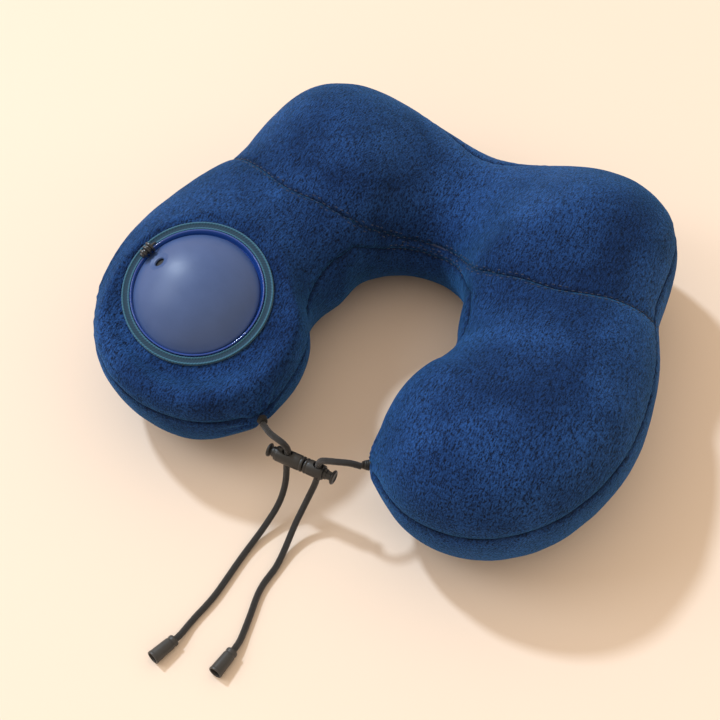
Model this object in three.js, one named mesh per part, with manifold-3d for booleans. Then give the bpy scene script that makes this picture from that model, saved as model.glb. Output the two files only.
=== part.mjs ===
// U-shaped inflatable neck pillow: air bladder in a zipped velour cover, press pump on the left arm,
// drawcord with a two-part cord lock. Millimetres, +Z up, +Y to the back of the neck, floor at z = 0.
import * as THREE from "three";
import { ParametricGeometry } from "three/addons/geometries/ParametricGeometry.js";
import { mergeVertices } from "three/addons/utils/BufferGeometryUtils.js";
import Module from "manifold-3d";

const wasm = await Module();
wasm.setup();

// Fits shared by all pieces
const gap = 0.3; // between pieces that touch
const cloth = 2; // velour with its lining
const film = 0.8; // bladder film

// Pillow outline round the neck axis: angle from the back centre, outer and inner radius, height
const neckAxisY = -25;
const backCentre = { angle: 0, outer: 166, inner: 68, height: 66 };
const hump = { angle: 39.5, outer: 198, inner: 52.5, height: 100 };
const valley = { angle: 66.5, outer: 166, inner: 44, height: 90 };
const arm = { angle: 114.5, outer: 174, inner: 47, height: 98 };
const tip = { angle: 157.5, outer: 156, inner: 34, height: 100 };
const stations = [backCentre, hump, valley, arm, tip];
const sectionPower = 2.3; // squareness of the cross-section
const underSag = 3; // how far the underside is pressed flat
const tipRounding = 64.5; // length of the rounded arm end
const tipPull = 5; // the drawcord pulls the arm end out to a nose
const tipPullReach = 28;
const noseShift = 6; // nose, outward of the arm's middle line
const noseDrop = 5.5; // nose, below the arm's mid height
const seamHeight = 54; // upper edge of the lower panel
const aroundSteps = 20; // facets of the pillow's surface
const alongSteps = 36;

// Press pump
const pumpAngle = 115.4; // round the neck axis, on the left arm
const pumpShift = 3.4; // outward of the arm's middle line
const pumpSink = 22; // cloth plane below the arm's crown
const pumpLeanBack = 18; // degrees, towards the arm end
const pumpLeanIn = 6; // degrees, towards the neck
const domeRadius = 36.5;
const domeRise = 18;
const domeWall = 2;
const domeLip = 1.8; // depth of the cylindrical rim
const domeTravel = 14;
const rimClearance = 0.7; // dome to collar and cup
const collarWall = 3.5;
const collarRise = 2.4;
const bindingWidth = 5;
const bindingRise = 1.8;
const flangeWidth = 10.4; // weld flange of the base, outside the cup
const flangeThickness = 1.2;
const cupWall = 1.4;
const cupDepth = 18;
const stemRadius = 1.7;
const flapRadius = 14;
const flapThickness = 1;
const portRadius = 3;
const portCircle = 8.5;
const inletCircle = 28.5; // inlet hole, from the pump axis
const inletAngle = 167;
const inletRadius = 2.75;
const inletRecess = 6.5;
const plugRadius = 2.6;
const plugRib = 0.5;
const plugLength = 9;
const plugAngle = 167.5;
const strapRadius = 0.9;
const strapReach = 3; // strap root, past the plug's end

// Drawcord, lock and cord ends
const cordRadius = 2;
const cordFit = 0.35; // cord to its holes
const lockY = -131.5;
const lockZ = 38;
const lockLean = 12; // degrees about the lock's axis
const lockRadius = 4.7;
const lockBore = 3.5;
const stemFit = 0.3; // plunger in its bore
const lockTravel = 1.6;
const lockWall = 1.05; // closed end of each bore
const spigotRadius = 2.5;
const spigotLength = 3;
const springWire = 0.45;
const springTurns = 2.5;
const lockHalves = {
  left: { side: -1, split: -0.15, end: 19, cordAt: 11.5, button: 4.9, buttonRadius: 4.2 },
  right: { side: 1, split: 0.45, end: 13, cordAt: 8.8, button: 6.8, buttonRadius: 4.4 },
};
const bellLength = 16.5;
const bellTop = 3.5;
const bellMouth = 4.15;
const bellWall = 0.9;
const knotRadius = 2.5;
const knotDepth = 7.5;
const anchorRadius = 3.2;
const anchorLength = 4.6;

// Zip in the neck wall, an arc about a vertical axis
const zipWallRadius = 34;
const zipHeight = 42;
const zipHalfAngle = 62;
const guardHalfHeight = 6;
const guardThickness = 1.2;
const guardInset = 0.2;
const coilRadius = 39.9; // middle of the coil, from the zip's axis
const coilHalf = 1.1;
const tapeWidth = 4.3;
const tapeThickness = 0.8;
const sliderHalfHeight = 3.4;
const sliderPlate = 0.9;
const sliderSpan = 13; // degrees
const pullLength = 5.2;
const zipPocket = 8; // half height of the bladder's recess

// Routes of the cords, centre lines
const leftRoute = [
  [-32.3, -122.4, 46.4],
  [-29.9, -124.1, 47.4],
  [-26.7, -126.4, 48.7],
  [-23.1, -128.4, 49.8],
  [-19.2, -129.8, 50.5],
  [-15.4, -130.3, 49.6],
  [-12.7, -130.3, 47],
  [-11.5, -130.3, 43.5],
  [-11.5, -130.9, 40.8],
  [-11.5, -131.5, 38],
  [-11.5, -132.1, 35.2],
  [-11.4, -132.9, 31.6],
  [-10.9, -134.3, 27.3],
  [-10.2, -136.6, 22.6],
  [-9.7, -140, 17.8],
  [-9.5, -144.8, 13.2],
  [-9.9, -150.6, 9.6],
  [-10.8, -157.3, 6.8],
  [-11.8, -164.5, 4.6],
  [-12.9, -172.2, 3],
  [-13.8, -180, 2.2],
  [-14.4, -190, 2.1],
  [-14.8, -202, 2.1],
  [-15.4, -213, 2.1],
  [-16.6, -221.5, 2.1],
  [-18.1, -229.3, 2.1],
  [-19.1, -236.5, 2.3],
  [-19.5, -241.5, 2.9],
  [-20.1, -246, 3.55],
  [-21.6, -250.4, 3.75],
  [-22.2, -252.3, 3.83],
];
const rightUpperRoute = [
  [32.2, -122.3, 46.5],
  [29.8, -123.5, 47.9],
  [26.5, -125.3, 49.7],
  [22.8, -127.5, 51],
  [18.9, -129.4, 51.6],
  [15, -130.4, 50.9],
  [11.3, -130.5, 48.6],
  [9.2, -130.3, 45],
  [8.8, -130.6, 42],
  [8.8, -131.5, 38],
];
const rightLowerRoute = [
  [8.8, -131.6, 37.6],
  [8.8, -132.1, 35.2],
  [8.7, -132.9, 31.6],
  [8.2, -134.9, 27.3],
  [7.3, -137.9, 22.8],
  [6.4, -142, 18.2],
  [5.7, -147.2, 13.8],
  [5.3, -153.2, 10.2],
  [5.5, -159.8, 7.2],
  [6, -166.6, 4.8],
  [6.6, -174.3, 3.1],
  [6.8, -181.4, 2.2],
  [6.3, -187.5, 2.1],
  [5.8, -193.5, 2.1],
  [6, -199.5, 2.1],
  [6.9, -205.5, 2.1],
  [8.3, -212, 2.1],
  [9.7, -219.3, 2.1],
  [11, -226.5, 2.2],
  [11.8, -231.8, 2.7],
  [11.9, -237, 3.5],
  [11.4, -241.3, 3.75],
  [11.1, -243.8, 3.85],
];

// Finishes
const finish = (color, roughness, metalness = 0) =>
  new THREE.MeshStandardMaterial({ color, roughness, metalness });
const velour = 0x1e3c78;
const knit = 0x466e82;
const plasticBlue = 0x2d50a0;
const domeBlue = 0x4a5a88;
const blackPlastic = 0x1c1c1e;
const blackCord = 0x141416;
const clearFilm = 0x93a3b4;
const steel = 0xb8bcc0;
const flapBlack = 0x2a2a2c;
const bellGrey = 0x3a3a3c;
const zipNavy = 0x1a2a50;
const zipMetal = 0x22252c;

const radians = THREE.MathUtils.degToRad;
const up = new THREE.Vector3(0, 0, 1);
const root = new THREE.Group();

// ---- solids ----

function toSolid(geometry) {
  const bare = geometry.clone();
  bare.deleteAttribute("normal");
  bare.deleteAttribute("uv");
  const merged = mergeVertices(bare, 1e-4);
  const corners = [];
  for (let i = 0; i < merged.index.count; i += 3) {
    const [a, b, c] = [0, 1, 2].map((k) => merged.index.getX(i + k));
    if (a !== b && b !== c && c !== a) corners.push(a, b, c);
  }
  return new wasm.Manifold(
    new wasm.Mesh({
      numProp: 3,
      vertProperties: new Float32Array(merged.attributes.position.array),
      triVerts: new Uint32Array(corners),
    }),
  );
}

function toGeometry(solid) {
  const mesh = solid.getMesh();
  const geometry = new THREE.BufferGeometry();
  geometry.setAttribute("position", new THREE.BufferAttribute(mesh.vertProperties, 3));
  geometry.setIndex(new THREE.BufferAttribute(mesh.triVerts, 1));
  geometry.computeVertexNormals();
  return geometry;
}

function addPiece(group, name, shape, material) {
  const geometry = shape.isBufferGeometry ? shape : toGeometry(shape);
  const mesh = new THREE.Mesh(geometry, material);
  mesh.name = name;
  group.add(mesh);
  return mesh;
}

// Solid of revolution about Z from [radius, height] pairs
function turned(profile, segments = 36) {
  const points = profile.map(([r, z]) => new THREE.Vector2(r, z));
  if (THREE.ShapeUtils.area(points) < 0) points.reverse();
  const onAxis = points.filter((p) => p.x === 0);
  if (onAxis.length) {
    while (points[0].x !== 0 || points[points.length - 1].x !== 0) points.push(points.shift());
  } else {
    points.push(points[0].clone());
  }
  return new THREE.LatheGeometry(points, segments).rotateX(Math.PI / 2);
}

function cylinder(radius, low, high, segments = 24) {
  return turned([[0, low], [radius, low], [radius, high], [0, high]], segments);
}

function box(x, y, z) {
  const size = [x, y, z].map(([low, high]) => high - low);
  const middle = [x, y, z].map(([low, high]) => (low + high) / 2);
  return new THREE.BoxGeometry(...size).translate(...middle);
}

// Part of a ring about a vertical axis at (0, centreY), angles from +Y
function sector(centreY, inner, outer, low, high, from, to, segments = 12) {
  const start = radians(90 + from);
  const end = radians(90 + to);
  const outline = new THREE.Shape();
  outline.absarc(0, 0, outer, start, end, false);
  outline.absarc(0, 0, inner, end, start, true);
  const depth = high - low;
  const ring = new THREE.ExtrudeGeometry(outline, { depth, bevelEnabled: false, curveSegments: segments });
  return ring.translate(0, centreY, low);
}

function tube(points, radius, sides, steps) {
  const section = new THREE.Shape();
  for (let i = 0; i < sides; i++) {
    const angle = (2 * Math.PI * i) / sides;
    if (i === 0) section.moveTo(radius, 0);
    else section.lineTo(radius * Math.cos(angle), radius * Math.sin(angle));
  }
  section.closePath();
  const path = points instanceof THREE.Curve
    ? points
    : new THREE.CatmullRomCurve3(points.map((p) => new THREE.Vector3(...p)), false, "centripetal");
  return new THREE.ExtrudeGeometry(section, { steps, bevelEnabled: false, extrudePath: path });
}

// ---- pillow shape ----

// Smooth curve through the stations that never overshoots them, level at the back centre
function throughStations(key) {
  const x = stations.map((s) => s.angle);
  const y = stations.map((s) => s[key]);
  const step = x.slice(1).map((value, i) => value - x[i]);
  const rise = step.map((h, i) => (y[i + 1] - y[i]) / h);
  const slope = x.map((_, i) => {
    if (i === 0) return 0;
    const before = rise[i - 1];
    if (i === x.length - 1) {
      const h0 = step[i - 1];
      const h1 = step[i - 2];
      const end = ((2 * h0 + h1) * before - h0 * rise[i - 2]) / (h0 + h1);
      return end * before > 0 ? end : 0;
    }
    if (before * rise[i] <= 0) return 0;
    const w1 = 2 * step[i] + step[i - 1];
    const w2 = step[i] + 2 * step[i - 1];
    return (w1 + w2) / (w1 / before + w2 / rise[i]);
  });
  return (angle) => {
    const at = Math.min(Math.abs(angle), x[x.length - 1]);
    let i = 0;
    while (i < step.length - 1 && at > x[i + 1]) i++;
    const t = (at - x[i]) / step[i];
    const bend = t * t * (3 - 2 * t);
    const leave = t * (1 - t) * (1 - t) * step[i] * slope[i];
    const arrive = t * t * (t - 1) * step[i] * slope[i + 1];
    return y[i] + (y[i + 1] - y[i]) * bend + leave + arrive;
  };
}

const outerRadius = throughStations("outer");
const innerRadius = throughStations("inner");
const crownHeight = throughStations("height");
const tipMiddle = (tip.outer + tip.inner) / 2;

function polar(angle, radius, z) {
  const a = radians(angle);
  return new THREE.Vector3(radius * Math.sin(a), neckAxisY + radius * Math.cos(a), z);
}

const pumpCentre = polar(
  -pumpAngle,
  (arm.outer + arm.inner) / 2 + pumpShift,
  arm.height - pumpSink,
);
const pumpAxis = new THREE.Vector3(
  Math.tan(radians(pumpLeanIn)),
  -Math.tan(radians(pumpLeanBack)),
  1,
).normalize();

const cupRadius = domeRadius + rimClearance;
const collarRadius = cupRadius + collarWall;
const bindingInner = collarRadius + gap;
const bindingOuter = bindingInner + bindingWidth;
const clothHole = bindingOuter + gap;
const flangeRadius = cupRadius + cupWall + flangeWidth;
const flangeTop = -cloth - gap;
const flangeBottom = flangeTop - flangeThickness;
const seatRadius = flangeRadius + 1;
const seatBlend = 30;

// The cloth lies flat under the pump and rises smoothly to the crown beyond it
function seatPump(point, inset) {
  const away = point.clone().sub(pumpCentre);
  const along = away.dot(pumpAxis);
  if (along + inset <= 0) return;
  const radius = away.addScaledVector(pumpAxis, -along).length();
  const freed = THREE.MathUtils.smoothstep(radius, seatRadius, seatRadius + seatBlend);
  point.addScaledVector(pumpAxis, -(along + inset) * (1 - freed));
}

// Where the drawcord pulls each arm end out; side is -1 on the left, 1 on the right
function nose(side) {
  const outward = polar(side * tip.angle, 1, 0).sub(polar(0, 0, 0));
  const a = radians(tip.angle);
  const along = new THREE.Vector3(side * Math.cos(a), -Math.sin(a), 0);
  const base = polar(side * tip.angle, tipMiddle, tip.height / 2 - noseDrop).addScaledVector(outward, noseShift);
  return { base, along };
}

function pullTips(point) {
  for (const side of [-1, 1]) {
    const { base, along } = nose(side);
    const near = Math.max(0, 1 - point.distanceTo(base) / tipPullReach);
    point.addScaledVector(along, tipPull * near * near);
  }
}

// The pillow as a closed body, every surface moved in by inset
function pillowSolid(inset) {
  const round = tipRounding - inset;
  const lastAngle = tip.angle - THREE.MathUtils.radToDeg(inset / tipMiddle);
  const roundAngle = THREE.MathUtils.radToDeg(round / tipMiddle);
  const capShare = 0.19;
  const surface = (u, v, target) => {
    const side = v < 0.5 ? -1 : 1;
    const fromTip = Math.min(v, 1 - v);
    let angle;
    let size;
    if (fromTip < capShare) {
      const turn = (fromTip / capShare) * (Math.PI / 2);
      angle = lastAngle - roundAngle * (1 - Math.cos(turn));
      size = Math.sin(turn);
    } else {
      const share = (0.5 - fromTip) / (0.5 - capShare);
      angle = (lastAngle - roundAngle) * share;
      size = 1;
    }
    const outer = outerRadius(angle) - inset;
    const inner = innerRadius(angle) + inset;
    const height = crownHeight(angle);
    const wide = ((outer - inner) / 2) * size;
    const tall = ((height + underSag) / 2 - inset) * size;
    const turn = 2 * Math.PI * u;
    const bulge = (value) => Math.sign(value) * Math.abs(value) ** (2 / sectionPower);
    const radius = (outer + inner) / 2 + wide * bulge(Math.cos(turn));
    const z = (height - underSag) / 2 + tall * bulge(Math.sin(turn));
    target.copy(polar(side * angle, radius, Math.max(z, inset)));
    pullTips(target);
    seatPump(target, inset);
  };
  return toSolid(new ParametricGeometry(surface, aroundSteps, alongSteps));
}

// ---- cover and bladder ----

function inPumpFrame(geometry) {
  const turn = new THREE.Quaternion().setFromUnitVectors(up, pumpAxis);
  return toSolid(geometry.applyQuaternion(turn).translate(...pumpCentre.toArray()));
}

// Everything on one side of the valley seam, out to the arm end
function armWedge(side, moved) {
  const far = 500;
  const a = radians(valley.angle);
  const outline = new THREE.Shape();
  outline.moveTo(0, neckAxisY);
  outline.lineTo(side * far * Math.sin(a), neckAxisY + far * Math.cos(a));
  outline.lineTo(side * far, neckAxisY - far);
  outline.lineTo(0, neckAxisY - far);
  outline.closePath();
  const wedge = new THREE.ExtrudeGeometry(outline, { depth: far, bevelEnabled: false });
  return toSolid(wedge.translate(-side * moved * Math.cos(a), moved * Math.sin(a), -far / 2));
}

function anchorPlace(side) {
  const { base, along } = nose(side);
  const outward = new THREE.Vector3(base.x, base.y - neckAxisY, 0).normalize();
  const axis = along.clone().multiplyScalar(0.9).addScaledVector(outward, 0.24).addScaledVector(up, 0.33);
  axis.normalize();
  const inner = base.clone().addScaledVector(along, tipPull - 2.6).addScaledVector(outward, -1.2);
  return { axis, inner };
}

function alongAxis(geometry, { axis, inner }) {
  const turn = new THREE.Quaternion().setFromUnitVectors(up, axis);
  return geometry.applyQuaternion(turn).translate(...inner.toArray());
}

const zipAxisY = neckAxisY + backCentre.inner - zipWallRadius;
const reach = 500;
const anchorRoom = (grow) =>
  [-1, 1].map((side) =>
    toSolid(alongAxis(cylinder(anchorRadius + gap + grow, -gap - grow, anchorLength + 6, 12), anchorPlace(side))),
  );

function buildCover() {
  const pocket = inPumpFrame(cylinder(flangeRadius + gap, flangeBottom - gap, -cloth, 36));
  let shell = pillowSolid(0).subtract(pillowSolid(cloth).add(pocket));
  for (const room of anchorRoom(0)) shell = shell.subtract(room);
  const upper = toSolid(box([-reach, reach], [-reach, reach], [seamHeight + gap, reach]));
  const lower = toSolid(box([-reach, reach], [-reach, reach], [-reach, seamHeight]));
  const window = toSolid(
    sector(
      zipAxisY,
      zipWallRadius - 5,
      coilRadius + 2.1,
      zipHeight - guardHalfHeight - gap,
      zipHeight + guardHalfHeight + gap,
      -zipHalfAngle - 5,
      zipHalfAngle + 5,
    ),
  );
  const top = shell.intersect(upper);
  const pumpHole = inPumpFrame(cylinder(clothHole, flangeBottom - 6, domeRise + pumpSink, 36));
  const back = top.subtract(armWedge(-1, gap)).subtract(armWedge(1, gap));
  const material = () => finish(velour, 0.95);
  const leftPanels = top.intersect(armWedge(-1, 0)).subtract(pumpHole).decompose();
  leftPanels.sort((a, b) => b.volume() - a.volume()); // the first is the panel, the rest are offcuts of the hole
  addPiece(root, "cover_top_left", leftPanels[0], material());
  addPiece(root, "cover_top_right", top.intersect(armWedge(1, 0)), material());
  addPiece(root, "cover_top_back", back, material());
  addPiece(root, "cover_bottom", shell.intersect(lower).subtract(window), material());
}

function buildBladder() {
  const inset = cloth + gap;
  const recess = (grow) =>
    inPumpFrame(cylinder(flangeRadius + gap + grow, flangeBottom - gap - grow, reach, 36));
  const zipRecess = (grow) =>
    toSolid(
      sector(
        zipAxisY,
        zipWallRadius - 10,
        coilRadius + 3.2 + grow,
        zipHeight - zipPocket - grow,
        zipHeight + zipPocket + grow,
        -zipHalfAngle - 12 - grow,
        zipHalfAngle + 12 + grow,
      ),
    );
  const skin = (depth) => {
    const body = pillowSolid(inset + depth).subtract(recess(depth)).subtract(zipRecess(depth));
    return anchorRoom(depth).reduce((rest, room) => rest.subtract(room), body);
  };
  const mouth = inPumpFrame(cylinder(cupRadius + cupWall + gap, flangeBottom - 6, reach, 36));
  addPiece(root, "air_bladder", skin(0).subtract(skin(film)).subtract(mouth), finish(clearFilm, 0.4));
}

function buildAnchors() {
  for (const [name, side] of [["cord_anchor_left", -1], ["cord_anchor_right", 1]]) {
    const stub = turned(
      [
        [0, 0],
        [anchorRadius, 0],
        [anchorRadius, anchorLength - 1.6],
        [cordRadius + 0.5, anchorLength],
        [0, anchorLength],
      ],
      12,
    );
    addPiece(root, name, alongAxis(stub, anchorPlace(side)), finish(blackCord, 0.9));
  }
}

// ---- press pump ----

function buildPump() {
  const pump = new THREE.Group();
  pump.position.copy(pumpCentre);
  pump.quaternion.setFromUnitVectors(up, pumpAxis);
  root.add(pump);

  const binding = turned(
    [
      [bindingInner, flangeTop + gap],
      [bindingOuter, flangeTop + gap],
      [bindingOuter, bindingRise - 1.2],
      [bindingOuter - 0.8, bindingRise - 0.3],
      [(bindingInner + bindingOuter) / 2, bindingRise],
      [bindingInner + 0.8, bindingRise - 0.3],
      [bindingInner, bindingRise - 1.2],
    ],
    36,
  );
  addPiece(pump, "pump_binding", binding, finish(knit, 0.9));

  const collar = turned(
    [
      [cupRadius, flangeTop + gap],
      [collarRadius, flangeTop + gap],
      [collarRadius, collarRise - 0.8],
      [collarRadius - 0.9, collarRise],
      [cupRadius + 1.2, collarRise],
      [cupRadius, collarRise - 1],
    ],
    36,
  );
  addPiece(pump, "pump_collar", collar, finish(plasticBlue, 0.2));

  const floorTop = flangeTop - cupDepth;
  const floorBottom = floorTop - cupWall;
  let base = toSolid(
    turned([
      [stemRadius + gap, floorBottom],
      [cupRadius + cupWall, floorBottom],
      [cupRadius + cupWall, flangeBottom],
      [flangeRadius, flangeBottom],
      [flangeRadius, flangeTop],
      [cupRadius, flangeTop],
      [cupRadius, floorTop],
      [stemRadius + gap, floorTop],
    ]),
  );
  for (let i = 0; i < 4; i++) {
    const port = cylinder(portRadius, floorBottom - 1, floorTop + 1, 12);
    base = base.subtract(toSolid(port.translate(portCircle, 0, 0).rotateZ((i * Math.PI) / 2)));
  }
  addPiece(pump, "pump_base", base, finish(plasticBlue, 0.35));

  const flapTop = floorBottom - gap;
  const bulbLow = floorTop + gap;
  const flap = turned(
    [
      [0, flapTop - flapThickness],
      [flapRadius, flapTop - flapThickness],
      [flapRadius, flapTop],
      [stemRadius, flapTop],
      [stemRadius, bulbLow],
      [stemRadius + 1, bulbLow],
      [stemRadius + 0.6, bulbLow + 1.2],
      [0, bulbLow + 1.9],
    ],
    24,
  );
  addPiece(pump, "outlet_valve_flap", flap, finish(flapBlack, 0.6));

  buildDome(pump);
  buildPlug(pump);
}

function buildDome(pump) {
  const sphere = (domeRadius * domeRadius + domeRise * domeRise) / (2 * domeRise);
  const centre = domeRise - sphere;
  const arc = (radius, steps) => {
    const rim = Math.acos(-centre / radius);
    return Array.from({ length: steps + 1 }, (_, i) => {
      const a = (rim * i) / steps;
      return [i === 0 ? 0 : radius * Math.sin(a), centre + radius * Math.cos(a)];
    });
  };
  const outer = arc(sphere, 7);
  const inner = arc(sphere - domeWall, 6);
  const lip = [
    [domeRadius, -domeLip],
    [domeRadius - domeWall, -domeLip],
  ];
  let dome = toSolid(turned([...outer, ...lip, ...inner.reverse()], 32));
  const tilt = Math.asin(inletCircle / sphere);
  const place = (geometry) =>
    geometry.rotateY(tilt).rotateZ(radians(inletAngle)).translate(0, 0, centre);
  const hole = toSolid(place(cylinder(inletRadius, sphere - 8, sphere + 4, 16)));
  const recess = toSolid(place(cylinder(inletRecess, sphere - 0.9, sphere + 4, 20)));
  dome = dome.subtract(recess).subtract(hole);
  addPiece(pump, "pump_dome", dome, finish(domeBlue, 0.55));

  const flapSize = inletRadius + 2.6;
  const under = Math.sqrt((sphere - domeWall) ** 2 - flapSize ** 2) - gap;
  const flap = cylinder(flapSize, under - 0.8, under, 16);
  addPiece(pump, "inlet_valve_flap", place(flap), finish(flapBlack, 0.6));
}

// The plug lies on the collar along its tangent, tied by a short strap at one end
function buildPlug(pump) {
  const holder = new THREE.Group();
  holder.rotation.z = radians(plugAngle);
  pump.add(holder);
  const restHeight = collarRise + gap + plugRadius + plugRib;
  const ring = collarRadius - 0.7;
  const profile = [[0, 0]];
  const ribs = 3;
  for (let i = 0; i < ribs; i++) {
    const start = (plugLength * i) / ribs;
    const width = plugLength / ribs;
    profile.push([plugRadius + plugRib, start]);
    profile.push([plugRadius + plugRib, start + width * 0.55]);
    profile.push([plugRadius - 0.3 * i, start + width * 0.62]);
    profile.push([plugRadius - 0.3 * i, start + width * 0.98]);
  }
  profile.push([0, plugLength]);
  const plug = turned(profile, 16).rotateX(-Math.PI / 2).translate(ring, -plugLength / 2, restHeight);
  addPiece(holder, "air_plug", plug, finish(blackPlastic, 0.35));

  const strapEnd = -plugLength / 2 - gap;
  const strap = tube(
    [
      [ring, strapEnd, restHeight],
      [ring, strapEnd - 1.6, restHeight - 0.2],
      [ring, strapEnd - 2.7, restHeight - 1.1],
      [ring, strapEnd - strapReach, collarRise + gap + strapRadius],
    ],
    strapRadius,
    8,
    6,
  );
  addPiece(holder, "plug_strap", strap, finish(blackPlastic, 0.35));
}

// ---- cord lock ----

const alongLock = (geometry, side) => geometry.rotateY((side * Math.PI) / 2);

class Helix extends THREE.Curve {
  constructor(radius, start, end) {
    super();
    Object.assign(this, { radius, start, end });
  }
  getPoint(t, target = new THREE.Vector3()) {
    const a = 2 * Math.PI * springTurns * t;
    const z = this.start + (this.end - this.start) * t;
    return target.set(this.radius * Math.cos(a), this.radius * Math.sin(a), z);
  }
}

function buildLockHalf(lock, name, half) {
  const { side, split, end, cordAt, button, buttonRadius } = half;
  const hole = cordRadius + cordFit;
  const stem = lockBore - stemFit;
  const face = side * split;
  const boreEnd = side < 0 ? face + spigotLength + gap + lockWall : face + lockWall;

  let barrel = toSolid(
    alongLock(
      turned(
        [
          [0, face],
          [lockRadius - 0.3, face],
          [lockRadius, face + 0.4],
          [lockRadius, end - 0.5],
          [lockRadius - 0.5, end],
          [lockBore, end],
          [lockBore, boreEnd],
          [0, boreEnd],
        ],
        24,
      ),
      side,
    ),
  );
  if (side < 0) {
    const socket = cylinder(spigotRadius + gap, face - 1, face + spigotLength + gap, 16);
    barrel = barrel.subtract(toSolid(alongLock(socket, side)));
  } else {
    const spigot = turned(
      [
        [0, face + 0.2],
        [0, face - spigotLength],
        [spigotRadius - 0.4, face - spigotLength],
        [spigotRadius, face - spigotLength + 0.6],
        [spigotRadius, face + 0.2],
      ],
      16,
    );
    barrel = barrel.add(toSolid(alongLock(spigot, side)));
  }
  const cordHole = cylinder(hole, -lockRadius - 1, lockRadius + 1, 16).translate(side * cordAt, 0, 0);
  addPiece(lock, "lock_barrel_" + name, barrel.subtract(toSolid(cordHole)), finish(blackPlastic, 0.35));

  const slotInner = cordAt - cordRadius - gap;
  const slotOuter = cordAt + cordRadius + gap + lockTravel;
  const stemEnd = slotInner - 1.2;
  const tipOut = end + button;
  let plunger = toSolid(
    alongLock(
      turned(
        [
          [0, stemEnd],
          [stem, stemEnd],
          [stem, end + lockTravel + 0.2],
          [stem - 0.3, end + lockTravel + 0.8],
          [buttonRadius - 0.1, tipOut - 1.5],
          [buttonRadius, tipOut - 0.6],
          [buttonRadius - 0.4, tipOut],
          [0, tipOut],
        ],
        20,
      ),
      side,
    ),
  );
  const slotX = [side * slotInner, side * slotOuter].sort((a, b) => a - b);
  plunger = plunger.subtract(toSolid(box(slotX, [-hole, hole], [-lockRadius, lockRadius])));
  addPiece(lock, "lock_plunger_" + name, plunger, finish(blackPlastic, 0.35));

  const coil = new Helix(lockBore - springWire - stemFit, boreEnd + springWire + gap, stemEnd - springWire - gap);
  const spring = tube(coil, springWire, 6, 26);
  addPiece(lock, "lock_spring_" + name, alongLock(spring, side), finish(steel, 0.3, 1));
}

function buildLock() {
  const lock = new THREE.Group();
  lock.position.set(0, lockY, lockZ);
  lock.rotation.x = radians(-lockLean);
  root.add(lock);
  for (const [name, half] of Object.entries(lockHalves)) buildLockHalf(lock, name, half);
}

// ---- drawcord and its ends ----

function buildCords() {
  const material = () => finish(blackCord, 0.8);
  addPiece(root, "cord_left", tube(leftRoute, cordRadius, 8, 46), material());
  addPiece(root, "cord_right_upper", tube(rightUpperRoute, cordRadius, 8, 11), material());
  addPiece(root, "cord_right_lower", tube(rightLowerRoute, cordRadius, 8, 26), material());
}

// A bell-shaped end lies on the floor round the end of its cord, the knot inside it
function buildCordEnd(name, route) {
  const end = new THREE.Vector3(...route[route.length - 1]);
  const before = new THREE.Vector3(...route[route.length - 2]);
  const holder = new THREE.Group();
  const mouthDrop = (bellMouth - bellTop) / bellLength;
  const axis = end.clone().sub(before).setZ(0).normalize().setZ(mouthDrop).normalize();
  holder.quaternion.setFromUnitVectors(up, axis);
  holder.position.copy(end).addScaledVector(axis, -(knotDepth - knotRadius - gap));
  holder.position.z = bellTop + 0.12;
  root.add(holder);
  const topHole = cordRadius + cordFit + 0.15;
  const bell = turned(
    [
      [topHole, 0],
      [bellTop - 0.4, 0],
      [bellTop, 0.4],
      [bellMouth, bellLength - 0.3],
      [bellMouth - 0.3, bellLength],
      [bellMouth - bellWall, bellLength],
      [bellTop - bellWall + 0.15, 1.6],
      [topHole, 1.2],
    ],
    20,
  );
  addPiece(holder, "cord_bell_" + name, bell, finish(bellGrey, 0.5));
  const knot = new THREE.SphereGeometry(knotRadius, 12, 8).translate(0, 0, knotDepth);
  addPiece(holder, "cord_knot_" + name, knot, finish(blackCord, 0.85));
}

// ---- zip ----

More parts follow.
